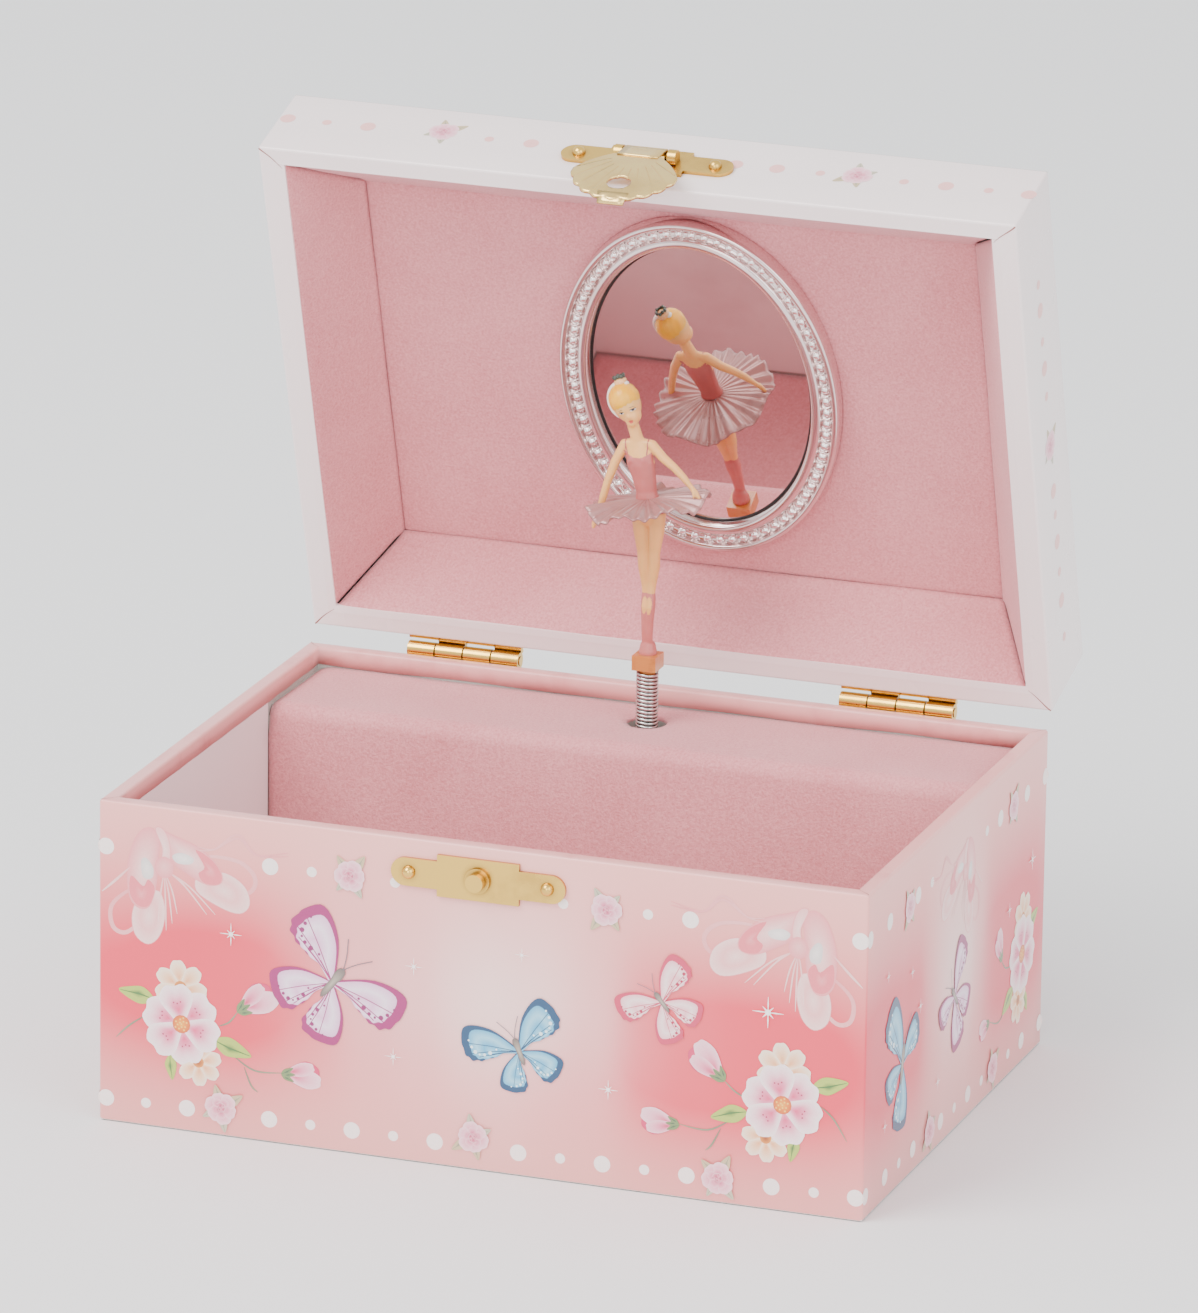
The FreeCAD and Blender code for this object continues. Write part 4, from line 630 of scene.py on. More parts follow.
def blossom(at, size, turn=0.0):
    """A six petalled pink blossom with an orange heart."""
    for k in (1, 3, 5, 0, 2, 4):
        petal(at, size, turn + 60 * k, 0.44, shade(232, 84, 128), shade(242, 138, 168), shade(252, 206, 214),
              shade(255, 236, 236), notch=0.05)
        for n in (-1, 0, 1):
            spot = moved([(0.09 * n, 0.52 + 0.03 * abs(n))], at, size, turn + 60 * k)[0]
            round_blot(spot, size * 0.022, shade(170, 40, 80), shade(170, 40, 80), sides=6)
    round_blot(at, size * 0.23, shade(250, 170, 50), shade(236, 128, 40), shade(214, 96, 40))
    for k in range(13):
        a, r = 2.4 * k, size * 0.05 * math.sqrt(k)
        round_blot((at[0] + r * math.cos(a), at[1] + r * math.sin(a)), size * 0.03, shade(255, 222, 110),
                   shade(244, 160, 60), sides=6)


def peach_flower(at, size, turn=0.0):
    """A seven petalled peach flower with a brown heart."""
    for k in range(7):
        petal(at, size, turn + 51.4 * k, 0.32, shade(244, 170, 120), shade(252, 206, 168),
              shade(255, 232, 212))
    round_blot(at, size * 0.24, shade(150, 66, 30), shade(226, 140, 60))


def bud(base_spot, tip):
    """A furled rose bud on its calyx."""
    long, way = span(base_spot, tip)
    turn = way - 90
    petal(base_spot, long * 0.97, turn, 0.36, shade(206, 40, 92), shade(226, 74, 118), shade(214, 54, 102))
    petal(base_spot, long, turn - 9, 0.24, shade(226, 90, 130), shade(246, 170, 190), shade(252, 204, 214))
    petal(base_spot, long * 0.86, turn + 14, 0.2, shade(214, 60, 108), shade(244, 150, 176),
          shade(250, 196, 208))
    for lean in (-30, 0, 28):
        leaf(base_spot, moved([(0, 0.36)], base_spot, long, turn + lean)[0], 0.2, shade(70, 96, 74),
             shade(120, 140, 90))


def wing(root, tip, bow, deep, inner, body_ink, edge, spots, scallops=6):
    """One butterfly wing from its root to its tip; bow is +1 or -1 for the trailing side."""
    long, turn = span(root, tip)
    lead = [(0.0, 0.0), (0.22, 0.10), (0.55, 0.17), (0.86, 0.12), (1.0, 0.0)]
    trail = []
    for k in range(1, 2 * scallops):
        t = k / (2 * scallops)
        trail.append((1.0 - 0.86 * t ** 1.15,
                      -deep * math.sin(math.pi * min(t ** 0.75, 1)) - (0.03 if k % 2 else 0)))
    shape = smooth(lead + trail, 3)
    outline = moved([(x, y * bow) for x, y in shape], root, long, turn)
    heart = moved([(0.42, -deep * 0.45 * bow)], root, long, turn)[0]
    blot(outline, heart, body_ink, body_ink, inner, edge, edge)
    small = moved([(0.06 + (x - 0.06) * 0.86, (y * 0.82 - 0.012) * bow) for x, y in shape], root, long, turn)
    blot(small, heart, body_ink, inner, body_ink, inner)
    for k in range(5):
        t = 0.12 + 0.19 * k
        end = (1.0 - 0.8 * t, -deep * 0.86 * math.sin(math.pi * t ** 0.75))
        vein = [(0.02, 0), (end[0] * 0.5, end[1] * 0.42), end]
        stroke(moved([(x, y * bow) for x, y in smooth(vein, 4, False)], root, long, turn), long * 0.012,
               edge, edge, taper=False)
    for k in range(7):
        t = 0.08 + 0.12 * k
        spot = (0.9 - 0.66 * t, -deep * 0.72 * math.sin(math.pi * min(t + 0.08, 1)))
        round_blot(moved([(spot[0], spot[1] * bow)], root, long, turn)[0], long * (0.018 + 0.008 * (k % 3)),
                   spots, spots, sides=7)


def butterfly(head, tail, fore, hind, inner, body_ink, edge, spots):
    """A butterfly with open wings, from the places of its head, tail and wing tips."""
    mid = ((head[0] + tail[0]) / 2, (head[1] + tail[1]) / 2)
    long, lean = span(tail, head)
    for tips, deep, scallops in ((hind, 0.5, 5), (fore, 0.42, 6)):
        for tip in tips:
            away = (span(mid, tip)[1] - lean) % 360
            wing(mid, tip, -1 if away < 180 else 1, deep, inner, body_ink, edge, spots, scallops)
    shape = smooth([(0, -0.5), (0.09, -0.3), (0.10, 0.1), (0.13, 0.3), (0.08, 0.5), (-0.08, 0.5),
                    (-0.13, 0.3),
                    (-0.10, 0.1), (-0.09, -0.3)], 3)
    blot(moved(shape, mid, long, lean - 90), mid, shade(176, 166, 150), shade(110, 96, 92))
    for sign in (-1, 1):
        feeler = smooth([(0, 0.5), (0.16 * sign, 0.85), (0.42 * sign, 1.25)], 5, False)
        stroke(moved(feeler, mid, long, lean - 90), long * 0.025, shade(120, 110, 116), taper=False)


def sparkle(at, size):
    """An eight pointed white sparkle."""
    for k in range(8):
        long = size * (1.0 if k % 2 == 0 else 0.5)
        a = math.radians(45 * k)
        tip = (at[0] + long * math.cos(a), at[1] + long * math.sin(a))
        stroke([at, ((at[0] + tip[0]) / 2, (at[1] + tip[1]) / 2), tip], size * 0.09, shade(255, 250, 248))
    round_blot(at, size * 0.2, shade(255, 255, 254), shade(255, 246, 244), sides=9)


def slippers(at, size, flip):
    """A pair of ballet slippers hung by their ribbons; they hang to the left when flip is 1."""
    pale, soft, rosy, hot = shade(250, 208, 204), shade(247, 178, 178), shade(243, 146, 152), shade(238, 118,
                                                                                                    130)

    def on(points, curved=4, closed=True):
        return moved(smooth(points, curved, closed), at, size, 0, flip)

    def outlined(points, heart, *inks):
        shape = on(points)
        blot(shape, moved([heart], at, size, 0, flip)[0], *inks)
        stroke(shape + shape[:1], 0.14 * size, rosy, taper=False)

    stroke(on([(-2, -3), (-7, -5.5), (-10.5, -9), (-10.2, -13), (-7.5, -13.8), (-4.4, -10.5), (-2.4, -5)], 5,
              False),
           0.9 * size, rosy, soft)
    stroke(on([(3, 1), (9, 3), (15, 2.6), (18, 0), (17, -3), (12, -4), (8, -2)], 5, False), 0.9 * size, soft,
           rosy)
    outlined([(-4.6, -6), (-6.4, -10), (-5.8, -14), (-3.2, -15.6), (-0.8, -13.5), (0.2, -9), (-1, -5)],
             (-3, -10),
             pale, soft, pale)
    outlined([(7, -0.6), (12, 0.2), (16, -2), (17, -5.4), (15, -7.4), (11, -6.6), (6.4, -4)], (12, -3.4),
             pale, soft, pale)
    for sway, drop in ((-1.2, -11), (0.4, -12.5), (1.6, -11), (2.6, -9)):
        stroke(on([(0, -1), (sway * 0.6, drop * 0.5), (sway, drop)], 5, False), 0.32 * size, soft, pale)
    for run in ((6.5, -6), (8.5, -8.4), (10.2, -8.2)):
        stroke(on([(0.8, -1), (run[0] * 0.5, run[1] * 0.42), run], 5, False), 0.34 * size, soft, pale)
    outlined([(-2.8, 7.2), (-5.4, 5.4), (-7.2, 0), (-7.1, -6), (-5.4, -8.6), (-3, -8.2), (-1.6, -4),
              (-1.2, 1),
              (-1.0, 5.4)], (-4.2, -1), pale, soft, rosy)
    blot(on([(-6.6, -2.6), (-6.8, -6.2), (-5.2, -8.3), (-3, -8), (-1.9, -4.6), (-3.2, -3.0), (-4.2, -4.4)]),
         moved([(-4.6, -6)], at, size, 0, flip)[0], rosy, hot, hot)
    blot(on([(-4.2, -2.6), (-4.6, 0.4), (-3.6, 1.2), (-2.2, -0.6), (-2.4, -2.6)]),
         moved([(-3.4, -0.8)], at, size, 0, flip)[0], shade(236, 226, 222), shade(216, 206, 204))
    outlined([(-1.4, 6.8), (2.4, 6.0), (7.4, 4.2), (11, 0.8), (11.4, -1.8), (8.6, -2.6), (4.4, -0.8),
              (1.2, 1.4)],
             (5, 2.4), pale, soft, rosy)
    blot(on([(6.2, 4.0), (9.6, 2.2), (11.4, -0.4), (10.8, -2.2), (8.0, -2.3), (6.8, -0.6), (8.0, 0.8)]),
         moved([(9.2, 0.2)], at, size, 0, flip)[0], rosy, hot, hot)
    blot(on([(1.6, 2.2), (3.4, 3.0), (5.8, 2.2), (5.2, 1.0), (2.6, 0.9)]),
         moved([(3.8, 1.9)], at, size, 0, flip)[0], shade(242, 232, 228), shade(222, 212, 210))
    outlined([(-1.8, 7.0), (-0.4, 3.4), (-0.6, 0.4), (1.2, 1.6), (0.9, 5.2), (-0.4, 7.3)], (0.1, 3.4), pale,
             soft)
    outlined([(-1.5, 0.9), (0.2, 1.8), (1.8, 0.5), (1.4, -1.7), (-0.5, -2.2), (-1.8, -0.9)], (0, 0), soft,
             rosy)
    for shift in (0, 0.7):
        stroke(on([(6.6, 4.6 - shift), (10, 4.5), (14.6, 7.2 + shift), (18.4, 4.4), (24.6, 5.6 - shift)], 6,
                  False),
               0.42 * size, soft, rosy)
    stroke(on([(-6.8, -1), (-9.6, -3.8), (-12.4, -6.4)], 6, False), 0.5 * size, soft, pale)


def stem(points, wide=0.34):
    """A thin green stalk."""
    stroke(smooth(points, 6, False), wide, shade(96, 122, 96), shade(150, 150, 120))


def spray(main, above, below, leaves, buds, stems):
    """A blossom spray: peach flowers and leaves behind, buds on stems, the blossom in front."""
    for points in stems:
        stem(points)
    for base_spot, tip in leaves:
        leaf(base_spot, tip, 0.24, LEAF_DARK, LEAF_LIGHT)
    for base_spot, tip in buds:
        bud(base_spot, tip)
    peach_flower(above, 5.2, 8)
    peach_flower(below, 4.6, 30)
    blossom(main, 7.8, 12)


PURPLE = (shade(232, 178, 214), shade(244, 220, 238), shade(158, 38, 108), shade(140, 34, 100))
BLUE = (shade(86, 168, 206), shade(150, 206, 228), shade(34, 74, 110), shade(226, 240, 244))
ROSY = (shade(246, 182, 190), shade(252, 222, 222), shade(206, 60, 96), shade(176, 40, 76))


def front_artwork():
    slippers((-62.0, 51.2), 1.0, 1)
    slippers((61.8, 51.2), 1.0, -1)
    spray((-58.5, 20.8), (-58.7, 28.0), (-55.1, 13.8),
          [((-64, 25), (-71.1, 26.1)), ((-52, 18.5), (-44.5, 16.2)), ((-60.8, 14.5), (-60.3, 9.6))],
          [((-47.4, 24.6), (-40.2, 29.6)), ((-38.6, 13.6), (-30.8, 14.2))],
          [[(-51, 21.4), (-49, 22.4), (-47.2, 24.8)], [(-48.5, 16.2), (-44, 13.6), (-38.4, 13.8)],
           [(-46, 14), (-44.6, 10.6), (-43.2, 9.4)], [(-66, 21.4), (-69, 19.2), (-71.6, 16.6)]])
    spray((59.3, 20.5), (59.4, 27.2), (56.2, 13.7),
          [((65, 24.5), (71.9, 26.4)), ((52.5, 18.3), (45.5, 16.3)), ((62, 14.5), (61.0, 9.7))],
          [((48.1, 23.6), (41.8, 29.6)), ((39.5, 14.0), (32.0, 14.3))],
          [[(52, 21), (50, 22), (48, 23.8)], [(49.4, 16.3), (45, 13.8), (39.4, 14.2)],
           [(47.5, 14.4), (45.8, 11), (44.6, 9.8)], [(66.6, 21.2), (69.2, 19), (71.8, 15)]])
    butterfly((-26.4, 35.5), (-30.9, 29.8), [(-31.0, 47.7), (-13.8, 30.9)], [(-41.0, 33.0), (-28.3, 20.6)],
              *PURPLE)
    butterfly((7.3, 26.5), (9.3, 21.6), [(-2.9, 27.2), (12.4, 35.0)], [(16.9, 23.0), (5.0, 16.6)], *BLUE)
    butterfly((34.5, 38.9), (37.3, 35.5), [(26.6, 36.7), (37.8, 46.8)], [(43.8, 37.3), (36.0, 29.2)], *ROSY)
    for at, size, turn in (((-25.2, 53.9), 2.9, 20), ((24.8, 53.6), 2.9, 200), ((-50.5, 5.4), 3.0, 0),
                           ((-0.6, 6.3), 2.9, 180), ((47.2, 4.7), 3.0, 30)):
        rose(at, size, turn)
    for at, size in (((-48.6, 39.7), 2.2), ((-12.5, 38.0), 1.7), ((-16.4, 20.0), 1.7), ((8.6, 42.9), 1.4),
                     ((25.7, 19.1), 1.9), ((56.3, 38.0), 3.0)):
        sparkle(at, size)


def side_artwork():
    slippers((3.7, 49.7), 0.82, -1)
    spray((40.0, 22.1), (40.1, 29.2), (38.2, 13.4),
          [((44, 26), (49.5, 28.5)), ((35, 17), (28.5, 13.5)), ((42, 14), (44, 9.6))],
          [((27.5, 24.5), (24.4, 31.0)), ((20.6, 14.6), (14.4, 14.0))],
          [[(33.6, 21.8), (30, 22.4), (27.5, 24.6)], [(33, 16.4), (27, 12.8), (20.6, 14.6)]])
    butterfly((-31.4, 27.0), (-33.0, 19.6), [(-37.4, 38.0), (-24.0, 31.0)], [(-42.0, 22.4), (-30.2, 10.8)],
              *BLUE)
    butterfly((-3.0, 28.6), (0.4, 24.6), [(1.6, 38.0), (-11.0, 26.4)], [(8.2, 25.4), (-1.2, 15.6)], *PURPLE)
    for at, size, turn in (((32.5, 53.7), 2.7, 20), ((-29.7, 53.0), 2.7, 200), ((22.9, 4.8), 2.8, 0),
                           ((-15.2, 4.8), 2.8, 180)):
        rose(at, size, turn)
    for at, size in (((31.1, 33.6), 1.5), ((44.8, 39.5), 2.2), ((-22.4, 31.6), 1.5), ((-11.0, 13.1), 1.6),
                     ((-41.8, 43.4), 1.3), ((-27.6, 39.8), 1.3), ((-42.2, 14.6), 1.4)):
        sparkle(at, size)


def geometry_tree(name, **sockets):
    """A geometry tree with named inputs; its end is set by end_tree."""
    tree = bpy.data.node_groups.new(name, "GeometryNodeTree")
    for label, kind in {"Geometry": "Geometry", **sockets}.items():
        tree.interface.new_socket(label.replace("_", " "), in_out="INPUT", socket_type="NodeSocket" + kind)
    tree.interface.new_socket("Geometry", in_out="OUTPUT", socket_type="NodeSocketGeometry")
    return tree, tree.nodes.new("NodeGroupInput").outputs


def end_tree(tree, shape, material):
    """Make the instances real, give them their material and hand them out."""
    leave = tree.nodes.new("NodeGroupOutput")
    real = add(tree, "GeometryNodeRealizeInstances", {"Geometry": shape})
    coat = add(tree, "GeometryNodeSetMaterial",
               {"Geometry": real.outputs["Geometry"], "Material": material})
    tree.links.new(coat.outputs["Geometry"], leave.inputs["Geometry"])


def dot_row(name, dots, sides=20):
    """Printed dots by Geometry Nodes: a disc on every point, sized by the point."""
    tree, given = geometry_tree(name, Dot_Sides="Int")
    size = add(tree, "GeometryNodeInputNamedAttribute", {"Name": "dot_radius"}, data_type="FLOAT")
    disc = add(tree, "GeometryNodeMeshCircle", {"Vertices": given["Dot Sides"], "Radius": 1.0},
               fill_type="TRIANGLE_FAN")
    points = add(tree, "GeometryNodeMeshToPoints", {"Mesh": given["Geometry"]})
    spread_out = add(tree, "GeometryNodeInstanceOnPoints",
                     {"Points": points.outputs["Points"], "Instance": disc.outputs["Mesh"],
                      "Scale": size.outputs["Attribute"]})
    end_tree(tree, spread_out.outputs["Instances"], ink)
    mesh = bpy.data.meshes.new(name)
    mesh.from_pydata([(x, y, 0) for x, y, r in dots], [], [])
    radii = mesh.attributes.new("dot_radius", "FLOAT", "POINT")
    radii.data.foreach_set("value", [r for x, y, r in dots])
    return plain_mesh(name, mesh, tree, Dot_Sides=sides)


def baked(made, *spent):
    """The plain mesh an object's modifiers make; it and the spent objects are removed."""
    bpy.context.view_layer.update()
    mesh = bpy.data.meshes.new_from_object(made.evaluated_get(bpy.context.evaluated_depsgraph_get()))
    for thing in (made, *spent):
        bpy.data.objects.remove(thing, do_unlink=True)
    return mesh


def plain_mesh(name, mesh, tree, **inputs):
    """Run a geometry tree on a mesh and keep only the plain result."""
    holder = placed(name + "_work", mesh)
    modifier = holder.modifiers.new("nodes", "NODES")
    modifier.node_group = tree
    keys = {item.name: item.identifier for item in tree.interface.items_tree if item.in_out == "INPUT"}
    for key, value in inputs.items():
        modifier[keys[key.replace("_", " ")]] = value
    result = baked(holder)
    result.name = name
    return result


def lay_dots(name, dots, tint):
    """Add a dot row's discs to the artwork in one ink."""
    art["layer"] += 1
    base = len(art["spots"])
    discs = dot_row(name, dots)
    for vertex in discs.vertices:
        art["spots"].append((vertex.co.x, vertex.co.y, art["layer"]))
        art["inks"].append(tint)
    for face in discs.polygons:
        art["faces"].append(tuple(base + k for k in face.vertices))


def border_dots(half, top, foot, gaps):
    """Large and small dots in turn along the top and bottom, left out where something covers them."""
    pitch, clear_of_corner, dots = 8.2, 5.0, []
    steps = int((half - clear_of_corner) / pitch)
    for k in range(-steps, steps + 1):
        x = k * pitch
        for z in (top, foot):
            if all(abs(x - gx) > gw or abs(z - gz) > 5 for gx, gz, gw in gaps):
                dots.append((x, z, BASE_BIG if k % 2 else BASE_SMALL))
    for x in (-half + 1.4, half - 1.4):
        dots += [(x, top, BASE_BIG), (x, foot, BASE_BIG)]
    return dots


def to_sheet(width, depth, gap=0.02, step=0.0006):
    """How artwork goes on the four faces, in millimetres: out of the face by its layer."""
    def put(n, u, v, layer):
        out = gap + step * layer
        return ((u, -depth / 2 - out, v), (width / 2 + out, u, v), (-u, depth / 2 + out, v),
                (-width / 2 - out, -u, v))[n]
    return put


def print_mesh(name, put, faces_art):
    """Collect the artwork of every face into one mesh with its inks."""
    spots, faces, inks = [], [], []
    for n, draw in faces_art:
        art.update(spots=[], faces=[], inks=[], layer=0)
        draw()
        base = len(spots)
        spots += [tuple(c * MM for c in put(n, *spot)) for spot in art["spots"]]
        faces += [tuple(base + k for k in face) for face in art["faces"]]
        inks += art["inks"]
    mesh = bpy.data.meshes.new(name)
    mesh.from_pydata(spots, [], faces)
    layer = mesh.color_attributes.new("Ink", "FLOAT_COLOR", "POINT")
    layer.data.foreach_set("color", [c for tint in inks for c in tint])
    return mesh


def face_outward(mesh, way_out):
    """Turn every flat face of the artwork to the way its sheet faces."""
    for face in mesh.polygons:
        if face.normal.dot(way_out(face.center)) < 0:
            face.flip()
    mesh.update()


def out_of_side(c):
    """Way out of the box's nearest side at a point."""
    along_x = abs(c.x) / WIDTH > abs(c.y) / DEPTH
    return Vector((c.x, 0, 0)) if along_x else Vector((0, c.y, 0))


CREAM_DOT, BASE_BIG, BASE_SMALL = shade(252, 236, 232), 1.62, 1.0
ROW_TOP, ROW_FOOT = 53.7, 4.4
wide_mm, deep_mm, tall_mm = WIDTH / MM, DEPTH / MM, TALL / MM
front_gaps = [(x, ROW_TOP, half) for x, half in ((-62, 14), (62, 14), (0, 13.8), (-25, 4.4), (25, 4.4))] + \
    [(x, ROW_FOOT, half) for x, half in ((-50.5, 4), (0, 4), (48.6, 4.4))]
side_gaps = [(x, ROW_TOP, half) for x, half in ((3, 12), (32, 4), (-31, 4))] + \
    [(x, ROW_FOOT, half) for x, half in ((24, 4.4), (-16, 4))]


def front_face():
    lay_dots("front_dots", border_dots(wide_mm / 2, ROW_TOP, ROW_FOOT, front_gaps), CREAM_DOT)
    front_artwork()


def side_face():
    lay_dots("side_dots", border_dots(deep_mm / 2, ROW_TOP, ROW_FOOT, side_gaps), CREAM_DOT)
    side_artwork()


base_print_mesh = print_mesh("base_print", to_sheet(wide_mm, deep_mm),
                             [(0, front_face), (1, side_face), (2, front_face), (3, side_face)])
face_outward(base_print_mesh, out_of_side)
new_piece("base_printed_motifs", base_print_mesh, "base", ink, smooth=False)

# ------------------------------------------------------------ base: plain papers inside
# The front compartment's walls are lined with plain pale pink paper, glued to the board
# and a little mottled.
liner = worn_finish("liner_paper", (35, 0.55, 0.7, 500, 0.15), shade(240, 222, 222), shade(228, 204, 205),
                    Specular_IOR_Level=0.4)
dress(liner, "compartment_liner")

# ------------------------------------------------------------ base: velvet over the movement
# Thin card flocked with short pink pile, bent over the front of the movement's box and
# glued flat on its deck, with a cut hole for the figure's spring.


def flocked(name, dark, pale, seed):
    """Short pile: fibre fleck and relief, soft cloudy brushing, and a sheen at grazing angles."""
    material, tree, shader = finish(name, Roughness=1.0, Sheen_Weight=0.45, Sheen_Roughness=0.4,
                                    Sheen_Tint=(1.0, 0.86, 0.87, 1), Specular_IOR_Level=0.15)
    place = add(tree, "ShaderNodeTexCoord")
    moved_place = add(tree, "ShaderNodeMapping",
                      {"Vector": place.outputs["Object"], "Location": (seed, 0, 0)})
    fibre = add(tree, "ShaderNodeTexNoise",
                {"Vector": moved_place.outputs["Vector"], "Scale": 2100.0, "Detail": 4.0,
                                             "Roughness": 0.7})
    brushed = add(tree, "ShaderNodeTexNoise",
                  {"Vector": moved_place.outputs["Vector"], "Scale": 38.0, "Detail": 4.0,
                                               "Distortion": 0.6})
    fleck = math_node(tree, "MULTIPLY_ADD", fibre.outputs["Fac"], 2.6, -0.85)
    cloud = math_node(tree, "MULTIPLY_ADD", brushed.outputs["Fac"], 1.1, -0.3)
    mask = math_node(tree, "MULTIPLY_ADD", fleck, 0.6, math_node(tree, "MULTIPLY", cloud, 0.45))
    clamp = add(tree, "ShaderNodeClamp", {"Value": mask})
    two_tone(tree, shader, clamp.outputs["Result"], dark, pale)
    relief = add(tree, "ShaderNodeBump",
                 {"Strength": 0.75, "Distance": 0.00035, "Height": fibre.outputs["Fac"]})
    tree.links.new(relief.outputs["Normal"], shader.inputs["Normal"])
    return material


velvet = flocked("pink_velvet", shade(208, 124, 130), shade(248, 178, 181), 0.0)
cover_low, cover_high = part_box("velvet_cover")
HALF_IN = cover_high.x - 0.25 * MM
FACE_Y, DECK_Z, BACK_Y, FOOT_Z = cover_low.y, cover_high.z, cover_high.y - 0.25 * MM, cover_low.z
FOLD, CARD, SOFT_END, DIP_WIDE = 3.2 * MM, 0.8 * MM, 3.2 * MM, 1.2 * MM
FACE_ROWS, FOLD_ROWS, DECK_ROWS = 14, 10, 14
spin = Vector(joints["ballerina_spin"]["pos_m"])
HOLE = 3.85 * MM


def ripple(x, y, z, height):
    """A slow unevenness of hand-laid card."""
    return height * noise.noise(Vector((x * 45, y * 45, z * 45)))


def velvet_path():
    """Side line of the cover: up the face, round the fold, back along the deck."""
    line = [(FACE_Y, FOOT_Z + (DECK_Z - FOLD - FOOT_Z) * k / FACE_ROWS) for k in range(FACE_ROWS + 1)]
    for k in range(1, FOLD_ROWS + 1):
        a = math.radians(180 - 90 / FOLD_ROWS * k)
        line.append((FACE_Y + FOLD + FOLD * math.cos(a), DECK_Z - FOLD + FOLD * math.sin(a)))
    deck = BACK_Y - FACE_Y - FOLD
    return line + [(FACE_Y + FOLD + deck * k / DECK_ROWS, DECK_Z) for k in range(1, DECK_ROWS + 1)]


def two_layers(columns, rows):
    """Faces of a closed sheet: two grids of points, column by column, and the edges between."""
    size, half, faces = rows + 1, (columns + 1) * (rows + 1), []
    for i in range(columns):
        for k in range(rows):
            p, q = i * size + k, (i + 1) * size + k
            faces += [(p, q, q + 1, p + 1), (half + p + 1, half + q + 1, half + q, half + p)]
    for i in range(columns):
        p, q = i * size, (i + 1) * size
        faces += [(p, half + p, half + q, q), (p + rows, q + rows, half + q + rows, half + p + rows)]
    last = columns * size
    for k in range(rows):
        faces += [(k, k + 1, half + k + 1, half + k),
                  (last + k, half + last + k, half + last + k + 1, last + k + 1)]
    return faces


def cover_mesh():
    """The bent card, bowed a little, dipping at its ends and round the hole, and its length."""
    line, columns = velvet_path(), 96
    run = sum(math.dist(a, b) for a, b in zip(line, line[1:]))
    spots = []
    for layer in (0, 1):
        for i in range(columns + 1):
            x = HALF_IN * (2 * i / columns - 1)
            ends = max(0.0, (abs(x) - HALF_IN + SOFT_END) / SOFT_END)
            for k, (y, z) in enumerate(line):
                a, b = line[max(k - 1, 0)], line[min(k + 1, len(line) - 1)]
                dy, dz = b[0] - a[0], b[1] - a[1]
                long = math.hypot(dy, dz)
                out = Vector((-dz / long, dy / long))
                bow = ripple(x, y, z, 0.22 * MM) - (0.9 if k >= FACE_ROWS else 0.25) * MM * ends ** 2
                near = math.hypot(x - spin.x, y - spin.y)
                if k > FACE_ROWS + FOLD_ROWS:
                    bow -= 0.3 * MM * math.exp(-((near - HOLE) / DIP_WIDE) ** 2)
                shift = bow - CARD * layer
                spots.append((x, y + out.x * shift, z + out.y * shift))
    return solid_mesh("velvet_cover_sheet", spots, two_layers(columns, len(line) - 1)), run


def pierced(mesh, matrix, radius, long, sides, stretch=1.0):
    """Cut a round or oval hole through a closed mesh along the matrix's own Z."""
    drill_mesh = bpy.data.meshes.new("drill")
    work = bmesh.new()
    bmesh.ops.create_cone(work, cap_ends=True, segments=sides, radius1=radius, radius2=radius,
                          depth=long, matrix=matrix @ Matrix.Diagonal((stretch, 1, 1, 1)))
    work.to_mesh(drill_mesh)
    work.free()
    blank, drill = placed("blank", mesh), placed("drill", drill_mesh)
    hole = blank.modifiers.new("hole", "BOOLEAN")
    hole.object, hole.operation, hole.solver = drill, "DIFFERENCE", "EXACT"
    return baked(blank, drill)


cover_card, run = cover_mesh()
cover_card = pierced(cover_card, Matrix.Translation((spin.x, spin.y, DECK_Z)), HOLE, 6 * MM, 64)
cover = new_piece("velvet_movement_cover", cover_card, "base", velvet)
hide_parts("velvet_cover")


# The compartment's floor card: the same flock, loose on the floor, its edges turned down a little.
def flock_card(name, corners, thick, out, body, replaced, steps=(60, 40), puff=0.25, edge=1.2, fillet=None,
               matrix=None):
    """A flocked card between four corners, soft at its edges, with its pile towards 'out'."""
    columns, rows = steps
    spots = []
    a, b, c, d = [Vector(p) for p in corners]
    wide, tall = (b - a).length, (d - a).length
    for layer in (0, 1):
        for i in range(columns + 1):
            s = i / columns
            for k in range(rows + 1):
                t = k / rows
                spot = a.lerp(b, s).lerp(d.lerp(c, s), t)
                near = min(s * wide, (1 - s) * wide, t * tall, (1 - t) * tall)
                soft = max(0.0, 1 - near / (edge * MM))
                bow = ripple(spot.x, spot.y, spot.z, puff * MM) - 0.45 * thick * soft ** 2
                if fillet and t > 1 - fillet[0]:
                    bow += fillet[1] * MM * ((t - 1 + fillet[0]) / fillet[0]) ** 2
                spots.append(spot + out * (bow if layer == 0 else -thick))
    mesh = solid_mesh(name, spots, two_layers(columns, rows))
    if matrix:
        mesh.transform(matrix)
    card = new_piece(name, mesh, body, velvet)
    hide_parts(replaced)
    # On a slanting card that is more than its depth.
    return card


pad_low, pad_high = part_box("compartment_floor_pad")
top_z = pad_high.z - 0.05 * MM
inset = 0.3 * MM
flock_card("velvet_floor_card",
           [(pad_low.x + inset, pad_low.y + inset, top_z), (pad_high.x - inset, pad_low.y + inset, top_z),
            (pad_high.x - inset, pad_high.y - inset, top_z), (pad_low.x + inset, pad_high.y - inset, top_z)],
           1.0 * MM, Vector((0, 0, 1)), "base", "compartment_floor_pad")

# ------------------------------------------------------------ lid: the wrap
# The lid's boards are wrapped in the same laminated paper in near white, folded over the
# rim and under the velvet. Pink dots and roses run round the sides; the top has a garland.
hinge = joints["lid_hinge"]
PIN = Vector(hinge["pos_m"])
OPEN_ANGLE = math.radians(-hinge["range_deg"][0])
OPEN = (Matrix.Translation(PIN) @ Matrix.Rotation(OPEN_ANGLE, 4, Vector(hinge["axis"]))
        @ Matrix.Translation(-PIN))
SHUT = OPEN.inverted()


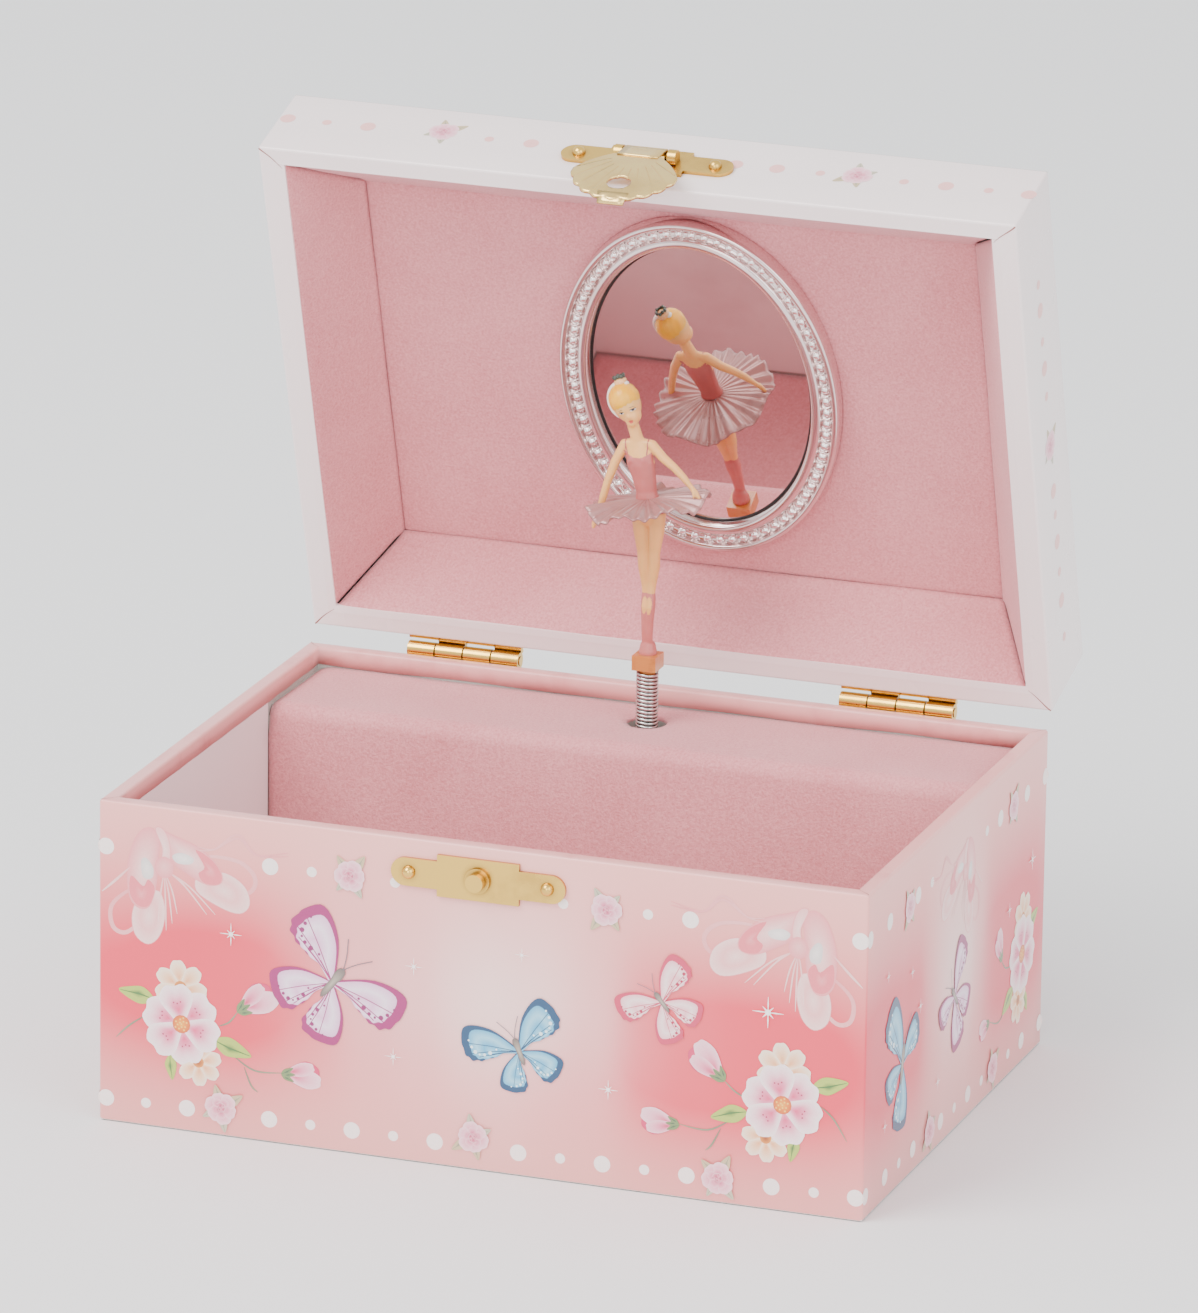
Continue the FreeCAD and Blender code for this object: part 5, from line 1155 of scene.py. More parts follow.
def shut_box(name):
    """Lowest and highest corners of a lid piece as it lies when the lid is shut."""
    spots = [SHUT @ v.co for v in nodes[name].data.vertices]
    return (Vector([min(s[i] for s in spots) for i in range(3)]),
            Vector([max(s[i] for s in spots) for i in range(3)]))


lid_low, lid_high = shut_box("lid_wrap")
RIM, TOP = lid_low.z, lid_high.z
EDGE = 0.8 * MM
under = [(-2.9 * MM, RIM + 0.02 * MM), (-0.5 * MM, RIM)] + \
    [(-0.5 * MM + 0.5 * MM * math.sin(math.radians(a)), RIM + 0.5 * MM * (1 - math.cos(math.radians(a))))
     for a in (30, 60, 90)]
over = rounded(-EDGE, TOP - EDGE, EDGE, range(0, 91, 18))
roof = [(-share * DEPTH / 2, TOP) for share in (0.08, 0.3, 0.6)]
lid_section = under + [(0.0, RIM + 7 * MM), (0.0, RIM + 14 * MM)] + over + roof + \
    [(-DEPTH / 2, TOP), (-DEPTH / 2, TOP - PAPER), (-1.0 * MM, TOP - PAPER), (-PAPER, TOP - 0.9 * MM),
     (-PAPER, RIM + 0.6 * MM), (-0.5 * MM, RIM + PAPER), (-2.9 * MM, RIM + PAPER)]
lid_mesh = wrap_shell(lid_section, WIDTH / 2, DEPTH / 2, CORNER)
work = bmesh.new()
work.from_mesh(lid_mesh)
seam = [face for face in work.faces if all(abs(v.co.y) < 0.02 * MM for v in face.verts)]
bmesh.ops.delete(work, geom=seam, context="FACES_ONLY")
bmesh.ops.recalc_face_normals(work, faces=work.faces)
work.to_mesh(lid_mesh)
work.free()

lid_paper, tree, shader = finish("lid_paper", Coat_Weight=0.7, Coat_Roughness=0.08, Coat_IOR=1.5)
handle(tree, shader, 26, 0.24, 0.34, 240, 0.04)
place = add(tree, "ShaderNodeTexCoord")
haze = add(tree, "ShaderNodeTexNoise", {"Vector": place.outputs["Object"], "Scale": 11.0, "Detail": 3.0})
two_tone(tree, shader, haze.outputs["Fac"], shade(250, 240, 238), shade(240, 216, 216))
top_faces = [face.index for face in lid_mesh.polygons if abs(face.normal.z) > 0.999]
lid_mesh.transform(OPEN)
lid_wrap = new_piece("lid_wrap_sheet", lid_mesh, "lid", lid_paper)
for index in top_faces:
    lid_mesh.polygons[index].use_smooth = False
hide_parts("lid_wrap")
# The lid's rim mitres get the same thin painted shadow.
mitre_crease_shadows("lid_rim_creases", WIDTH / 2, DEPTH / 2, RIM - 0.02 * MM, (4.6 * MM, 4.2 * MM), "lid",
              crease_shade,
              OPEN, 0.3 * MM)

# The rim's return inside the lid: the wrap carries on over the board to the velvet's edge.
RIM_SIDE, RIM_BACK, RIM_FRONT = 5.0 * MM, 4.8 * MM, 3.5 * MM


def rim_band():
    """A flat frame of paper between the outer rim and the velvet, slightly rolled inwards."""
    work = bmesh.new()
    rings = []
    for out, drop in ((2.85 * MM, 0.03 * MM), (3.4 * MM, 0.0), (None, 0.12 * MM), (None, 1.0 * MM)):
        ring = []
        for sx, sy in ((-1, -1), (1, -1), (1, 1), (-1, 1)):
            if out is not None:
                x, y = WIDTH / 2 - out, DEPTH / 2 - out
            else:
                x, y = WIDTH / 2 - RIM_SIDE, DEPTH / 2 - (RIM_BACK if sy > 0 else RIM_FRONT + 0.05 * MM)
            ring.append(work.verts.new((sx * x, sy * y, RIM + drop)))
        rings.append(ring)
    for low, high in zip(rings, rings[1:]):
        for i in range(4):
            j = (i + 1) % 4
            work.faces.new((low[i], high[i], high[j], low[j]))
    mesh = bpy.data.meshes.new("lid_rim_band")
    bmesh.ops.recalc_face_normals(work, faces=work.faces)
    work.to_mesh(mesh)
    work.free()
    if sum(face.normal.z for face in mesh.polygons) > 0:
        mesh.flip_normals()
    mesh.transform(OPEN)
    return mesh


new_piece("lid_rim_band", rim_band(), "lid", lid_paper, smooth=False)

LID_DOT, BIG, SMALL = shade(244, 184, 180), 1.5, 0.92
rim_mm = RIM / MM


def lid_front_face():
    line = rim_mm + 11.1
    dots = [(x, line, BIG) for x in (-73.0, -56.8, -24.0, 16.6, 24.8, 57.9, 74.0)]
    dots += [(x, line, SMALL) for x in (-65.1, -32.4, 33.3, 49.7, 66.2)]
    lay_dots("lid_front_dots", dots, LID_DOT)
    rose((-41.9, line + 1), 2.8, 0)
    rose((40.4, line + 0.5), 2.8, 180)


def lid_side_face():
    line = rim_mm + 9.8
    back = DEPTH / 2 / MM
    dots = [(back - u, line, SMALL) for u in (88.7, 76.3, 64.3, 38.1, 25.4, 10.8)]
    dots += [(back - u, line, BIG) for u in (83.1, 70.4, 43.4, 32.1, 19.0)]
    lay_dots("lid_side_dots", dots, LID_DOT)
    rose((back - 53.4, line), 2.8, 90)


def lid_top_face():
    """Seen from above when shut: a border of dots, corner roses and one garland."""
    w, d = WIDTH / 2 / MM - 7, DEPTH / 2 / MM - 7
    dots = []
    for k in range(-8, 9):
        for y in (-d, d):
            if abs(k) not in (4, 8):
                dots.append((k * w / 8, y, BIG if k % 2 else SMALL))
    for k in range(-5, 6):
        for x in (-w, w):
            dots.append((x, k * d / 6, BIG if k % 2 else SMALL))
    lay_dots("lid_top_dots", dots, LID_DOT)
    for sx in (-1, 1):
        for sy in (-1, 1):
            rose((sx * w, sy * d), 3.2, 45 * sx * sy)
            rose((sx * w / 2, sy * d), 2.6, 90)
    slippers((-17, 20), 1.25, 1)
    slippers((17, 20), 1.25, -1)
    spray((0, -12), (0, -4.6), (-3.4, -19.2),
          [((6.6, -9.4), (13.6, -7.2)), ((-6.6, -9.4), (-13.4, -7)), ((3, -19), (6, -24))],
          [((-22, -9.6), (-29.4, -5.6)), ((22, -10), (29.6, -6))],
          [[(-8, -12), (-15, -12.6), (-22, -9.8)], [(8, -12.4), (15, -12.8), (22, -10.2)]])
    butterfly((-41.6, -12.6), (-44.6, -18), [(-50.4, -3.6), (-32.8, -13.8)], [(-54, -15.6), (-41.6, -26)],
              *PURPLE)
    butterfly((43.4, -14), (45.4, -19), [(33.6, -12.4), (49.0, -5.4)], [(53.4, -17.6), (41.2, -24.4)], *BLUE)
    for at, size in (((-34, 6), 2.2), ((36, 10), 1.8), ((0, 30), 2.0), ((-56, 12), 1.6), ((56, -30), 1.6)):
        sparkle(at, size)


def on_lid_top(n, u, v, layer):
    return (u, v, TOP / MM + 0.02 + 0.0006 * layer)


lid_sheet = to_sheet(wide_mm, deep_mm)
lid_print_mesh = print_mesh("lid_print", lid_sheet,
                            [(0, lid_front_face), (1, lid_side_face), (2, lid_front_face),
                                                     (3, lid_side_face)])
top_print_mesh = print_mesh("lid_top_print", on_lid_top, [(0, lid_top_face)])
face_outward(lid_print_mesh, out_of_side)
face_outward(top_print_mesh, lambda c: Vector((0, 0, 1)))
for name, mesh in (("lid_side_motifs", lid_print_mesh), ("lid_top_motifs", top_print_mesh)):
    mesh.transform(OPEN)
    new_piece(name, mesh, "lid", ink, smooth=False)

# ------------------------------------------------------------ lid: velvet lining
# Four sloping flocked cards and a flat panel make a shallow tray in the lid; their folds
# are soft and the cut edges along the rim are a little furry.
LINING_DEEP = 16.5 * MM
SLOPE_SIDE, SLOPE_BACK, SLOPE_FRONT = 14.0 * MM, 13.0 * MM, 15.3 * MM


def tray(side_in, back_in, front_in, height):
    """Corners of the lining at one depth."""
    x, front, back = WIDTH / 2 - side_in, -DEPTH / 2 + front_in, DEPTH / 2 - back_in
    return [Vector(p) for p in ((-x, front, height), (x, front, height), (x, back, height),
                                (-x, back, height))]


mouth = tray(RIM_SIDE, RIM_BACK, RIM_FRONT, RIM + 0.15 * MM)
bed = tray(SLOPE_SIDE, SLOPE_BACK, SLOPE_FRONT, RIM + LINING_DEEP)
for name, i in (("front", 0), ("right", 1), ("back", 2), ("left", 3)):
    k = (i + 1) % 4
    corners = [mouth[i], mouth[k], bed[k], bed[i]]
    out = (mouth[k] - mouth[i]).cross(bed[i] - mouth[i]).normalized()
    inward = Vector((0, 0, mouth[i].z)) - (mouth[i] + mouth[k]) / 2
    if out.dot(inward) < 0:
        out = -out
    flock_card(f"velvet_lid_{name}", corners, 0.6 * MM, out, "lid", f"lid_lining_{name}", (110, 26), 0.3, 0.5,
               (0.14, 0.5), OPEN)
panel = [p + Vector((math.copysign(0.5 * MM, p.x), math.copysign(0.5 * MM, p.y), 0)) for p in bed]
flock_card("velvet_lid_panel", panel, 0.9 * MM, Vector((0, 0, -1)), "lid", "lid_lining_panel", (110, 80),
           0.22, 0.3,
           None, OPEN)

# ------------------------------------------------------------ lid: the oval mirror
# A moulded frame with a silvered skin: a plain outer band, a sunk channel with a string of
# beads and a bright inner ring that laps the glass. It is stuck to the velvet panel.
frame_low, frame_high = shut_box("mirror_frame")
glass_low, glass_high = shut_box("mirror_glass")
OVAL = ((frame_low + frame_high) / 2).xy
HALF_WIDE, HALF_LONG = (frame_high.x - frame_low.x) / 2, (frame_high.y - frame_low.y) / 2
FACE_Z = frame_low.z


def oval_sweep(name, section, stops=192):
    """Sweep a closed section round the oval. Section points are (inwards, down from the face)."""
    spots, faces = [], []
    for i in range(stops):
        t = 2 * math.pi * i / stops
        edge = Vector((HALF_WIDE * math.cos(t), HALF_LONG * math.sin(t)))
        way = Vector((HALF_LONG * math.cos(t), HALF_WIDE * math.sin(t))).normalized()
        for inward, rise in section:
            spot = OVAL + edge - way * inward
            spots.append((spot.x, spot.y, FACE_Z + rise))
    size = len(section)
    for i in range(stops):
        for k in range(size):
            a, b = i * size, (i + 1) % stops * size
            faces.append((a + k, b + k, b + (k + 1) % size, a + (k + 1) % size))
    mesh = solid_mesh(name, spots, faces)
    mesh.transform(OPEN)
    return mesh


def arch(start, end, height, rise, steps=9):
    """Points over a rounded ridge between two distances inwards; negative rise stands proud."""
    return [(start + (end - start) * (1 - math.cos(math.pi * k / steps)) / 2,
             height - rise * math.sin(math.pi * k / steps)) for k in range(steps + 1)]


deep = frame_high.z - frame_low.z
ring_section = [(0.15 * MM, deep), (0.0, deep - 0.3 * MM)] + arch(0.0, 1.5 * MM, 0.9 * MM, 0.9 * MM) + \
    [(1.6 * MM, 1.5 * MM), (3.5 * MM, 1.5 * MM)] + arch(3.6 * MM, 5.7 * MM, 1.0 * MM, 0.8 * MM) + \
    [(5.9 * MM, 1.9 * MM), (5.9 * MM, glass_low.z - FACE_Z - 0.05 * MM), (5.7 * MM, deep)]

# The silver's pink tint is painted reflection of the velvet round it; its two tones are mixed by wear.
silvered = worn_finish("silvered_plastic", (60, 0.07, 0.17, 200, 0.06), shade(226, 208, 206),
                       shade(205, 178, 172),
                       Metallic=0.93, Coat_Weight=0.3, Coat_Roughness=0.05)
ring = new_piece("mirror_oval_frame", oval_sweep("mirror_oval_frame", ring_section), "lid",
                 silvered)
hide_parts("mirror_frame")


def bead_string():
    """Beads set evenly round the channel by Geometry Nodes."""
    tree, given = geometry_tree("Bead String", Bead_Count="Int", Bead_Radius="Float", Half_Wide="Float",
                                Half_Long="Float")
    circle = add(tree, "GeometryNodeCurvePrimitiveCircle", {"Resolution": 256, "Radius": 1.0})
    oval = add(tree, "ShaderNodeCombineXYZ", {"X": given["Half Wide"], "Y": given["Half Long"], "Z": 1.0})
    pulled = add(tree, "GeometryNodeTransform",
                 {"Geometry": circle.outputs["Curve"], "Scale": oval.outputs["Vector"]})
    points = add(tree, "GeometryNodeCurveToPoints",
                 {"Curve": pulled.outputs["Geometry"], "Count": given["Bead Count"]})
    bead = add(tree, "GeometryNodeMeshUVSphere",
               {"Segments": 12, "Rings": 8, "Radius": given["Bead Radius"]})
    strung = add(tree, "GeometryNodeInstanceOnPoints",
                 {"Points": points.outputs["Points"], "Instance": bead.outputs["Mesh"]})
    end_tree(tree, strung.outputs["Instances"], bead_silver)
    return tree


bead_silver = worn_finish("bead_silver", (200, 0.05, 0.12, 300, 0.03), shade(246, 238, 236),
                          shade(222, 205, 202),
                          Metallic=1.0)
channel = 2.55 * MM
beads = plain_mesh("mirror_beads", bpy.data.meshes.new("beads"), bead_string(), Bead_Count=74,
                   Bead_Radius=0.85 * MM, Half_Wide=HALF_WIDE - channel, Half_Long=HALF_LONG - channel)
beads.transform(OPEN @ Matrix.Translation((OVAL.x, OVAL.y, FACE_Z + 1.25 * MM)))
new_piece("mirror_beads", beads, "lid")

mirror = worn_finish("mirror_silver", (20, 0.015, 0.03, 60, 0.0), shade(236, 232, 230), shade(228, 224, 222),
                     Metallic=1.0)
dress(mirror, "mirror_glass")
# Painted shadow: a thin black ring round the glass where it meets the frame.
shadow_gap_black = worn_finish("glass_edge", (60, 0.3, 0.5, 300, 0.1), shade(20, 18, 17), shade(46, 40, 38))
edge_low = glass_low.z - FACE_Z
new_piece("mirror_shadow_gap", oval_sweep("mirror_shadow_gap", [
    (5.86 * MM, edge_low - 0.3 * MM), (6.35 * MM, edge_low - 0.02 * MM), (6.35 * MM, edge_low + 0.02 * MM),
    (5.86 * MM, edge_low + 0.1 * MM)]), "lid", shadow_gap_black)

# ------------------------------------------------------------ brass: plates, nails, hinges, hasp
# Stamped sheet brass with a bright plating, darkened in the hollows by painted shade, and fixed with small
# domed nails. The hasp is one stamping: a fluted fan, a neck rolled round the pin, a tab.


def plated(name, bright, worn_and_shaded, low, high, patch=55):
    """Plated metal: bright where handled, duller and darker in worn patches, and darker in its corners by
    painted shade.
    """
    material, tree, shader = finish(name, Metallic=1.0)
    surface = handle(tree, shader, patch, low, high, 700, 0.10)
    # Painted shade: an occlusion mask darkens the metal in its corners and hollows.
    corner_shade = add(tree, "ShaderNodeAmbientOcclusion", {"Distance": 0.0012}, samples=6)
    dark = math_node(tree, "SUBTRACT", 1.0, math_node(tree, "POWER", corner_shade.outputs["AO"], 1.6))
    mask = math_node(tree, "MAXIMUM", math_node(tree, "MULTIPLY", surface.outputs["Wear"], 0.45), dark)
    two_tone(tree, shader, mask, bright, worn_and_shaded)
    return material


brass = plated("plated_brass", shade(232, 190, 98), shade(140, 100, 40), 0.14, 0.30)
pale_brass = plated("hasp_brass", shade(246, 214, 140), shade(176, 128, 58), 0.16, 0.30)
dress(brass, "left_hinge_base_leaf", "right_hinge_base_leaf", "left_hinge_lid_leaf", "right_hinge_lid_leaf",
      "hinge_pins", "hinge_base_nails", "hinge_lid_nails", "catch_plate", "catch_stud", "catch_nails",
      "hasp_pin",
      "hasp_nails", "hasp_plate")

hasp_pin_at = SHUT @ Vector(joints["hasp_flip"]["pos_m"])
SWING = Matrix.Rotation(math.radians(joints["hasp_flip"]["range_deg"][0]), 4, "X")
HASP = OPEN @ Matrix.Translation(hasp_pin_at) @ SWING
NECK, DROP, SHEET = 4.0 * MM, 19.8 * MM, 0.55 * MM
LOBES, FAN_TURN, NECK_TURN = 9, 50, 84
SCREW_HOLE_DOWN, SCREW_HOLE, LOOP = 15.2 * MM, 2.1 * MM, 1.48 * MM


def hasp_outline(turn):
    """Fan's reach from the neck's foot in a direction measured from straight down."""
    a = abs(turn)
    if a < FAN_TURN:
        share = a / FAN_TURN
        reach = (DROP - 3.2 * MM) * (1 - share) + 13.3 * MM * share + 0.9 * MM * math.sin(math.pi * share)
        return reach + 0.55 * MM * abs(math.cos(math.pi * (turn / FAN_TURN * LOBES / 2)))
    flare = (a - FAN_TURN) / (NECK_TURN - FAN_TURN)
    return 13.5 * MM * (1 - flare) ** 1.9 + NECK * 1.04 * (1 - (1 - flare) ** 1.9)


def hasp_mesh():
    """Fan of the hasp from the neck's foot, hung from the pin at the origin, facing -Y."""
    columns, rows = 144, 34
    turns = [-NECK_TURN + 2 * NECK_TURN * k / columns for k in range(columns + 1)]
    spots, faces = [], []
    for layer in (0, 1):
        for turn in turns:
            reach = hasp_outline(turn)
            for k in range(rows + 1):
                share = k / rows
                x = math.sin(math.radians(turn)) * reach * share
                s = 3.2 * MM + math.cos(math.radians(turn)) * reach * share
                t = s / DROP
                y = -1.5 * MM - 4 * 0.67 * MM * t * (1 - t) + 0.9 * MM * t * t
                phase = abs(math.cos(math.pi * (turn / FAN_TURN * LOBES / 2)))
                if abs(turn) < 52 and 0.42 < share < 0.93:
                    y += 0.22 * MM * max(0.0, 1 - phase / 0.22)
                if share > 0.95:
                    y += 0.12 * MM
                spots.append((x, y + SHEET * layer, -s))
    size, half = rows + 1, len(turns) * (rows + 1)
    for i in range(len(turns) - 1):
        for k in range(rows):
            p, q, r, s = i * size + k, (i + 1) * size + k, (i + 1) * size + k + 1, i * size + k + 1
            faces += [(p, q, r, s), (half + s, half + r, half + q, half + p)]
        a, b = i * size + rows, (i + 1) * size + rows
        faces.append((a, b, half + b, half + a))
    last = (len(turns) - 1) * size
    for k in range(rows):
        faces += [(k, k + 1, half + k + 1, half + k),
                  (last + k, half + last + k, half + last + k + 1, last + k + 1)]
    return solid_mesh("hasp_fan", spots, faces, weld=0.004 * MM, slivers=0.003 * MM)


def strip(line, half, thick, tip_half=None):
    """A bent strip of sheet along points (y, z), as wide as the half width each side."""
    spots, faces = [], []
    count = len(line)
    for i, (y, z) in enumerate(line):
        a, b = line[max(i - 1, 0)], line[min(i + 1, count - 1)]
        out = Vector((-(b[1] - a[1]), b[0] - a[0])).normalized() * thick
        wide = half + ((tip_half or half) - half) * i / (count - 1)
        for x in (-wide, -wide * 0.5, 0.0, wide * 0.5, wide):
            spots += [(x, y, z), (x, y + out.x, z + out.y)]
    for i in range(count - 1):
        for k in range(4):
            a, b = i * 10 + k * 2, (i + 1) * 10 + k * 2
            faces += [(a, b, b + 2, a + 2), (a + 1, a + 3, b + 3, b + 1)]
        a, b = i * 10, (i + 1) * 10
        faces += [(a, a + 1, b + 1, b), (a + 8, b + 8, b + 9, a + 9)]
    for base in (0, (count - 1) * 10):
        faces += [(base + k * 2, base + k * 2 + 1, base + k * 2 + 3, base + k * 2 + 2) for k in range(4)]
    return spots, faces


def gathered(name, *parts):
    """Put closed shells together in one mesh, normals outward."""
    work = bmesh.new()
    for part in parts:
        if isinstance(part, bpy.types.Mesh):
            work.from_mesh(part)
        else:
            lump = bpy.data.meshes.new("part")
            lump.from_pydata(part[0], [], part[1])
            work.from_mesh(lump)
    bmesh.ops.recalc_face_normals(work, faces=work.faces)
    mesh = bpy.data.meshes.new(name)
    work.to_mesh(mesh)
    work.free()
    return mesh


loop = [(LOOP * math.sin(math.radians(a)), LOOP * math.cos(math.radians(a))) for a in range(-90, 211, 12)]
neck_line = [(-1.5 * MM - 0.1 * MM * k, -0.7 * MM * k) for k in range(0, 8)]
tab = [(-1.02 * MM, -18.6 * MM), (-0.62 * MM, -19.4 * MM), (-0.15 * MM, -20.2 * MM), (0.45 * MM, -20.9 * MM)]
hole_at = Matrix.Translation((0, 0, -SCREW_HOLE_DOWN)) @ Matrix.Rotation(math.pi / 2, 4, "X")
fan = pierced(hasp_mesh(), hole_at, SCREW_HOLE, 12 * MM, 48, 1.12)
stamped = gathered("hasp_stamping", fan, strip(loop, NECK, -0.5 * MM), strip(neck_line, NECK, 0.5 * MM),
                   strip(tab, 3.0 * MM, 0.45 * MM, 2.5 * MM))
stamped.transform(HASP)
hasp = new_piece("hasp_flap_stamping", stamped, "hasp", pale_brass)
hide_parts("hasp_shell")

# ------------------------------------------------------------ the movement and its key
# A small eighteen note movement: die cast bedplate, steel comb and arbors, turned brass
# drum and wheels, nylon crown. The key is bent wire, plated.
# The plated finishes below darken their corners with the same painted shade.
zinc = plated("zinc_casting", shade(176, 178, 180), shade(108, 110, 112), 0.35, 0.55, 90)
steel = plated("bright_steel", shade(214, 212, 208), shade(120, 118, 114), 0.14, 0.28, 70)
cut_brass = plated("cut_brass", shade(214, 178, 92), shade(120, 90, 40), 0.2, 0.36, 60)
nylon = worn_finish("white_nylon", (80, 0.4, 0.55, 500, 0.1), shade(238, 234, 226), shade(222, 216, 204),
                    Subsurface_Weight=0.15, Subsurface_Scale=0.001)
by_slot = {"zinc_casting": zinc, "bright_steel": steel, "cut_brass": cut_brass, "white_nylon": nylon,
           "plated_brass": brass}
for name in ("movement_bedplate", "movement_screws", "barrel_bridge", "click_spring", "governor_frame",
             "comb",
             "winding_arbor", "winding_key", "spring_barrel", "mainspring", "cylinder_arbor",
             "cylinder_pinion",
             "music_cylinder", "cylinder_wheel", "transfer_arbor", "transfer_wheel", "governor_worm"):
    for slot in nodes[name].material_slots:
        label = slot.material.name if slot.material else ""
        slot.material = next((m for key, m in by_slot.items() if key in label), steel)

# ------------------------------------------------------------ the figure's spring
# A close wound steel spring stands in the hole in the velvet and carries the figure.
spring_low, spring_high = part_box("flex_spring")


def coil_tree():
    """A close wound wire spring by Geometry Nodes."""
    tree, given = geometry_tree("Close Coil", Turns="Float", Coil_Radius="Float", Height="Float",
                                Wire="Float")
    spiral = add(tree, "GeometryNodeCurveSpiral", {
        "Resolution": 26, "Rotations": given["Turns"], "Start Radius": given["Coil Radius"],
        "End Radius": given["Coil Radius"], "Height": given["Height"]})
    wire = add(tree, "GeometryNodeCurvePrimitiveCircle", {"Resolution": 10, "Radius": given["Wire"]})
    tube = add(tree, "GeometryNodeCurveToMesh", {"Curve": spiral.outputs["Curve"],
                                                 "Profile Curve": wire.outputs["Curve"], "Fill Caps": True})
    end_tree(tree, tube.outputs["Mesh"], steel)
    return tree


WIRE = 0.33 * MM
coil = plain_mesh("figure_spring_coil", bpy.data.meshes.new("coil"), coil_tree(), Turns=23.0,
                  Coil_Radius=2.2 * MM - WIRE, Height=spring_high.z - spring_low.z - 2 * WIRE, Wire=WIRE)
coil.transform(Matrix.Translation((spin.x, spin.y, spring_low.z + WIRE)))
work = bmesh.new()
work.from_mesh(coil)
bmesh.ops.remove_doubles(work, verts=work.verts, dist=0.0005 * MM)
bmesh.ops.recalc_face_normals(work, faces=work.faces)
work.to_mesh(coil)
work.free()
spring = new_piece("figure_spring_coil", coil, None)
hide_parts("flex_spring")
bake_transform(spring)

# ------------------------------------------------------------ the dancer
# A moulded plastic dancer, painted by hand: amber foot block, dusty rose slippers and
# bodice, yellow hair with a white band, a small dark crown. She stands on the spring.
FOOT = Vector((spin.x, spin.y, spring_high.z))
SKIN, HAIR_TINT, ROSE, DEEP_ROSE = shade(238, 176, 104), shade(250, 176, 20), shade(190, 98, 94), shade(200,
                                                                                                        110,
                                                                                                        104)
WHITE_TINT, CROWN_TINT, AMBER = shade(240, 226, 216), shade(58, 66, 54), shade(206, 128, 62)

figure_paint, tree, shader = finish("painted_figure", Subsurface_Weight=0.2, Subsurface_Scale=0.0012,
                                    Coat_Weight=0.25, Coat_Roughness=0.22)
handle(tree, shader, 260, 0.32, 0.46, 1600, 0.08)
paint = add(tree, "ShaderNodeVertexColor", layer_name="Paint")
place = add(tree, "ShaderNodeTexCoord")
uneven = add(tree, "ShaderNodeTexNoise", {"Vector": place.outputs["Object"], "Scale": 420.0, "Detail": 3.0})
depth = math_node(tree, "MULTIPLY_ADD", uneven.outputs["Fac"], 0.24, 0.88)
toned = mixed(tree, 1.0, paint.outputs["Color"], depth, blend_type="MULTIPLY")
tree.links.new(toned, shader.inputs["Base Color"])


def along(points, gap=0.36):
    """Balls (x, y, z, rx, ry, rz) closely set along a limb's stations (x, y, z, rx, ry)."""
    balls = []
    for a, b in zip(points, points[1:]):
        span = math.dist(a[:3], b[:3])
        count = max(2, round(span / gap))
        for k in range(count):
            t = k / count
            x, y, z, rx, ry = [p + (q - p) * t for p, q in zip(a, b)]
            balls.append((x, y, z, rx, ry, min(rx, ry)))
    x, y, z, rx, ry = points[-1]
    return balls + [(x, y, z, rx, ry, min(rx, ry))]


TORSO = along([(-1.35, 0.1, 29.4, 1.0, 1.3), (-0.2, 0.0, 30.6, 3.1, 2.3), (-0.4, 0.0, 32.4, 2.6, 2.0),
               (-0.7, 0.0, 35.0, 2.1, 1.6), (-1.3, -0.05, 38.0, 2.45, 1.75), (-1.9, -0.15, 40.6, 2.85, 2.0),
               (-2.2, -0.1, 42.2, 2.75, 1.75), (-2.5, 0.0, 43.6, 2.6, 1.35), (-2.7, 0.05, 44.6, 1.8, 1.1)])
BUST = [(-3.2, -1.15, 41.3, 1.15, 0.95, 1.1), (-1.2, -1.15, 41.4, 1.15, 0.95, 1.1)]
NECK_BALLS = along([(-2.75, 0.05, 44.4, 1.7, 1.1), (-2.85, 0.05, 45.4, 1.25, 1.15),
                    (-3.8, -0.1, 48.4, 1.15, 1.15)])
LEFT_ARM = along([(-3.6, 0, 44.3, 0.9, 0.9), (-5.2, 0, 43.9, 1.05, 1.0), (-7.0, -0.3, 40.3, 0.95, 0.95),
                  (-8.3, -0.7, 36.5, 0.8, 0.8), (-9.1, -0.9, 33.4, 0.78, 0.75), (-9.8, -1.0, 30.6, 0.58, 0.5),
                  (-10.3, -1.05, 29.0, 0.72, 0.48), (-10.75, -1.1, 27.9, 0.62, 0.4),
                  (-10.95, -1.15, 27.1, 0.35, 0.3)])
RIGHT_ARM = along([(-1.4, 0, 44.5, 0.9, 0.9), (0.2, 0, 44.3, 1.05, 1.0), (2.6, -0.2, 42.0, 0.92, 0.92),
                   (4.9, -0.5, 40.5, 0.8, 0.8), (6.8, -0.75, 38.9, 0.76, 0.74), (8.4, -0.9, 37.2, 0.56, 0.5),
                   (9.3, -1.0, 36.3, 0.68, 0.46), (9.9, -1.05, 35.4, 0.58, 0.38),
                   (10.3, -1.1, 34.8, 0.32, 0.28)])
THUMBS = along([(-9.8, -1.6, 29.6, 0.3, 0.3), (-9.9, -1.75, 28.5, 0.24, 0.24)], 0.15) + \
    along([(9.1, -1.5, 36.4, 0.3, 0.3), (9.3, -1.75, 35.4, 0.24, 0.24)], 0.15)
LEFT_LEG = along([(-1.9, 0.0, 30.6, 1.7, 1.9), (-1.7, 0.0, 27.5, 1.6, 1.7), (-1.3, 0.0, 23.2, 1.15, 1.2),
                  (-1.15, 0.2, 20.4, 1.15, 1.3), (-0.75, 0.2, 16.6, 0.8, 0.85),
                  (-0.62, 0.15, 14.8, 0.75, 0.8)])
RIGHT_LEG = along([(1.5, 0.0, 30.6, 1.7, 1.9), (1.35, 0.0, 27.5, 1.6, 1.7), (1.05, -0.1, 23.2, 1.15, 1.2),
                   (1.0, 0.1, 20.4, 1.15, 1.3), (0.72, -0.1, 16.6, 0.8, 0.85), (0.6, -0.25, 14.8, 0.75, 0.8)])
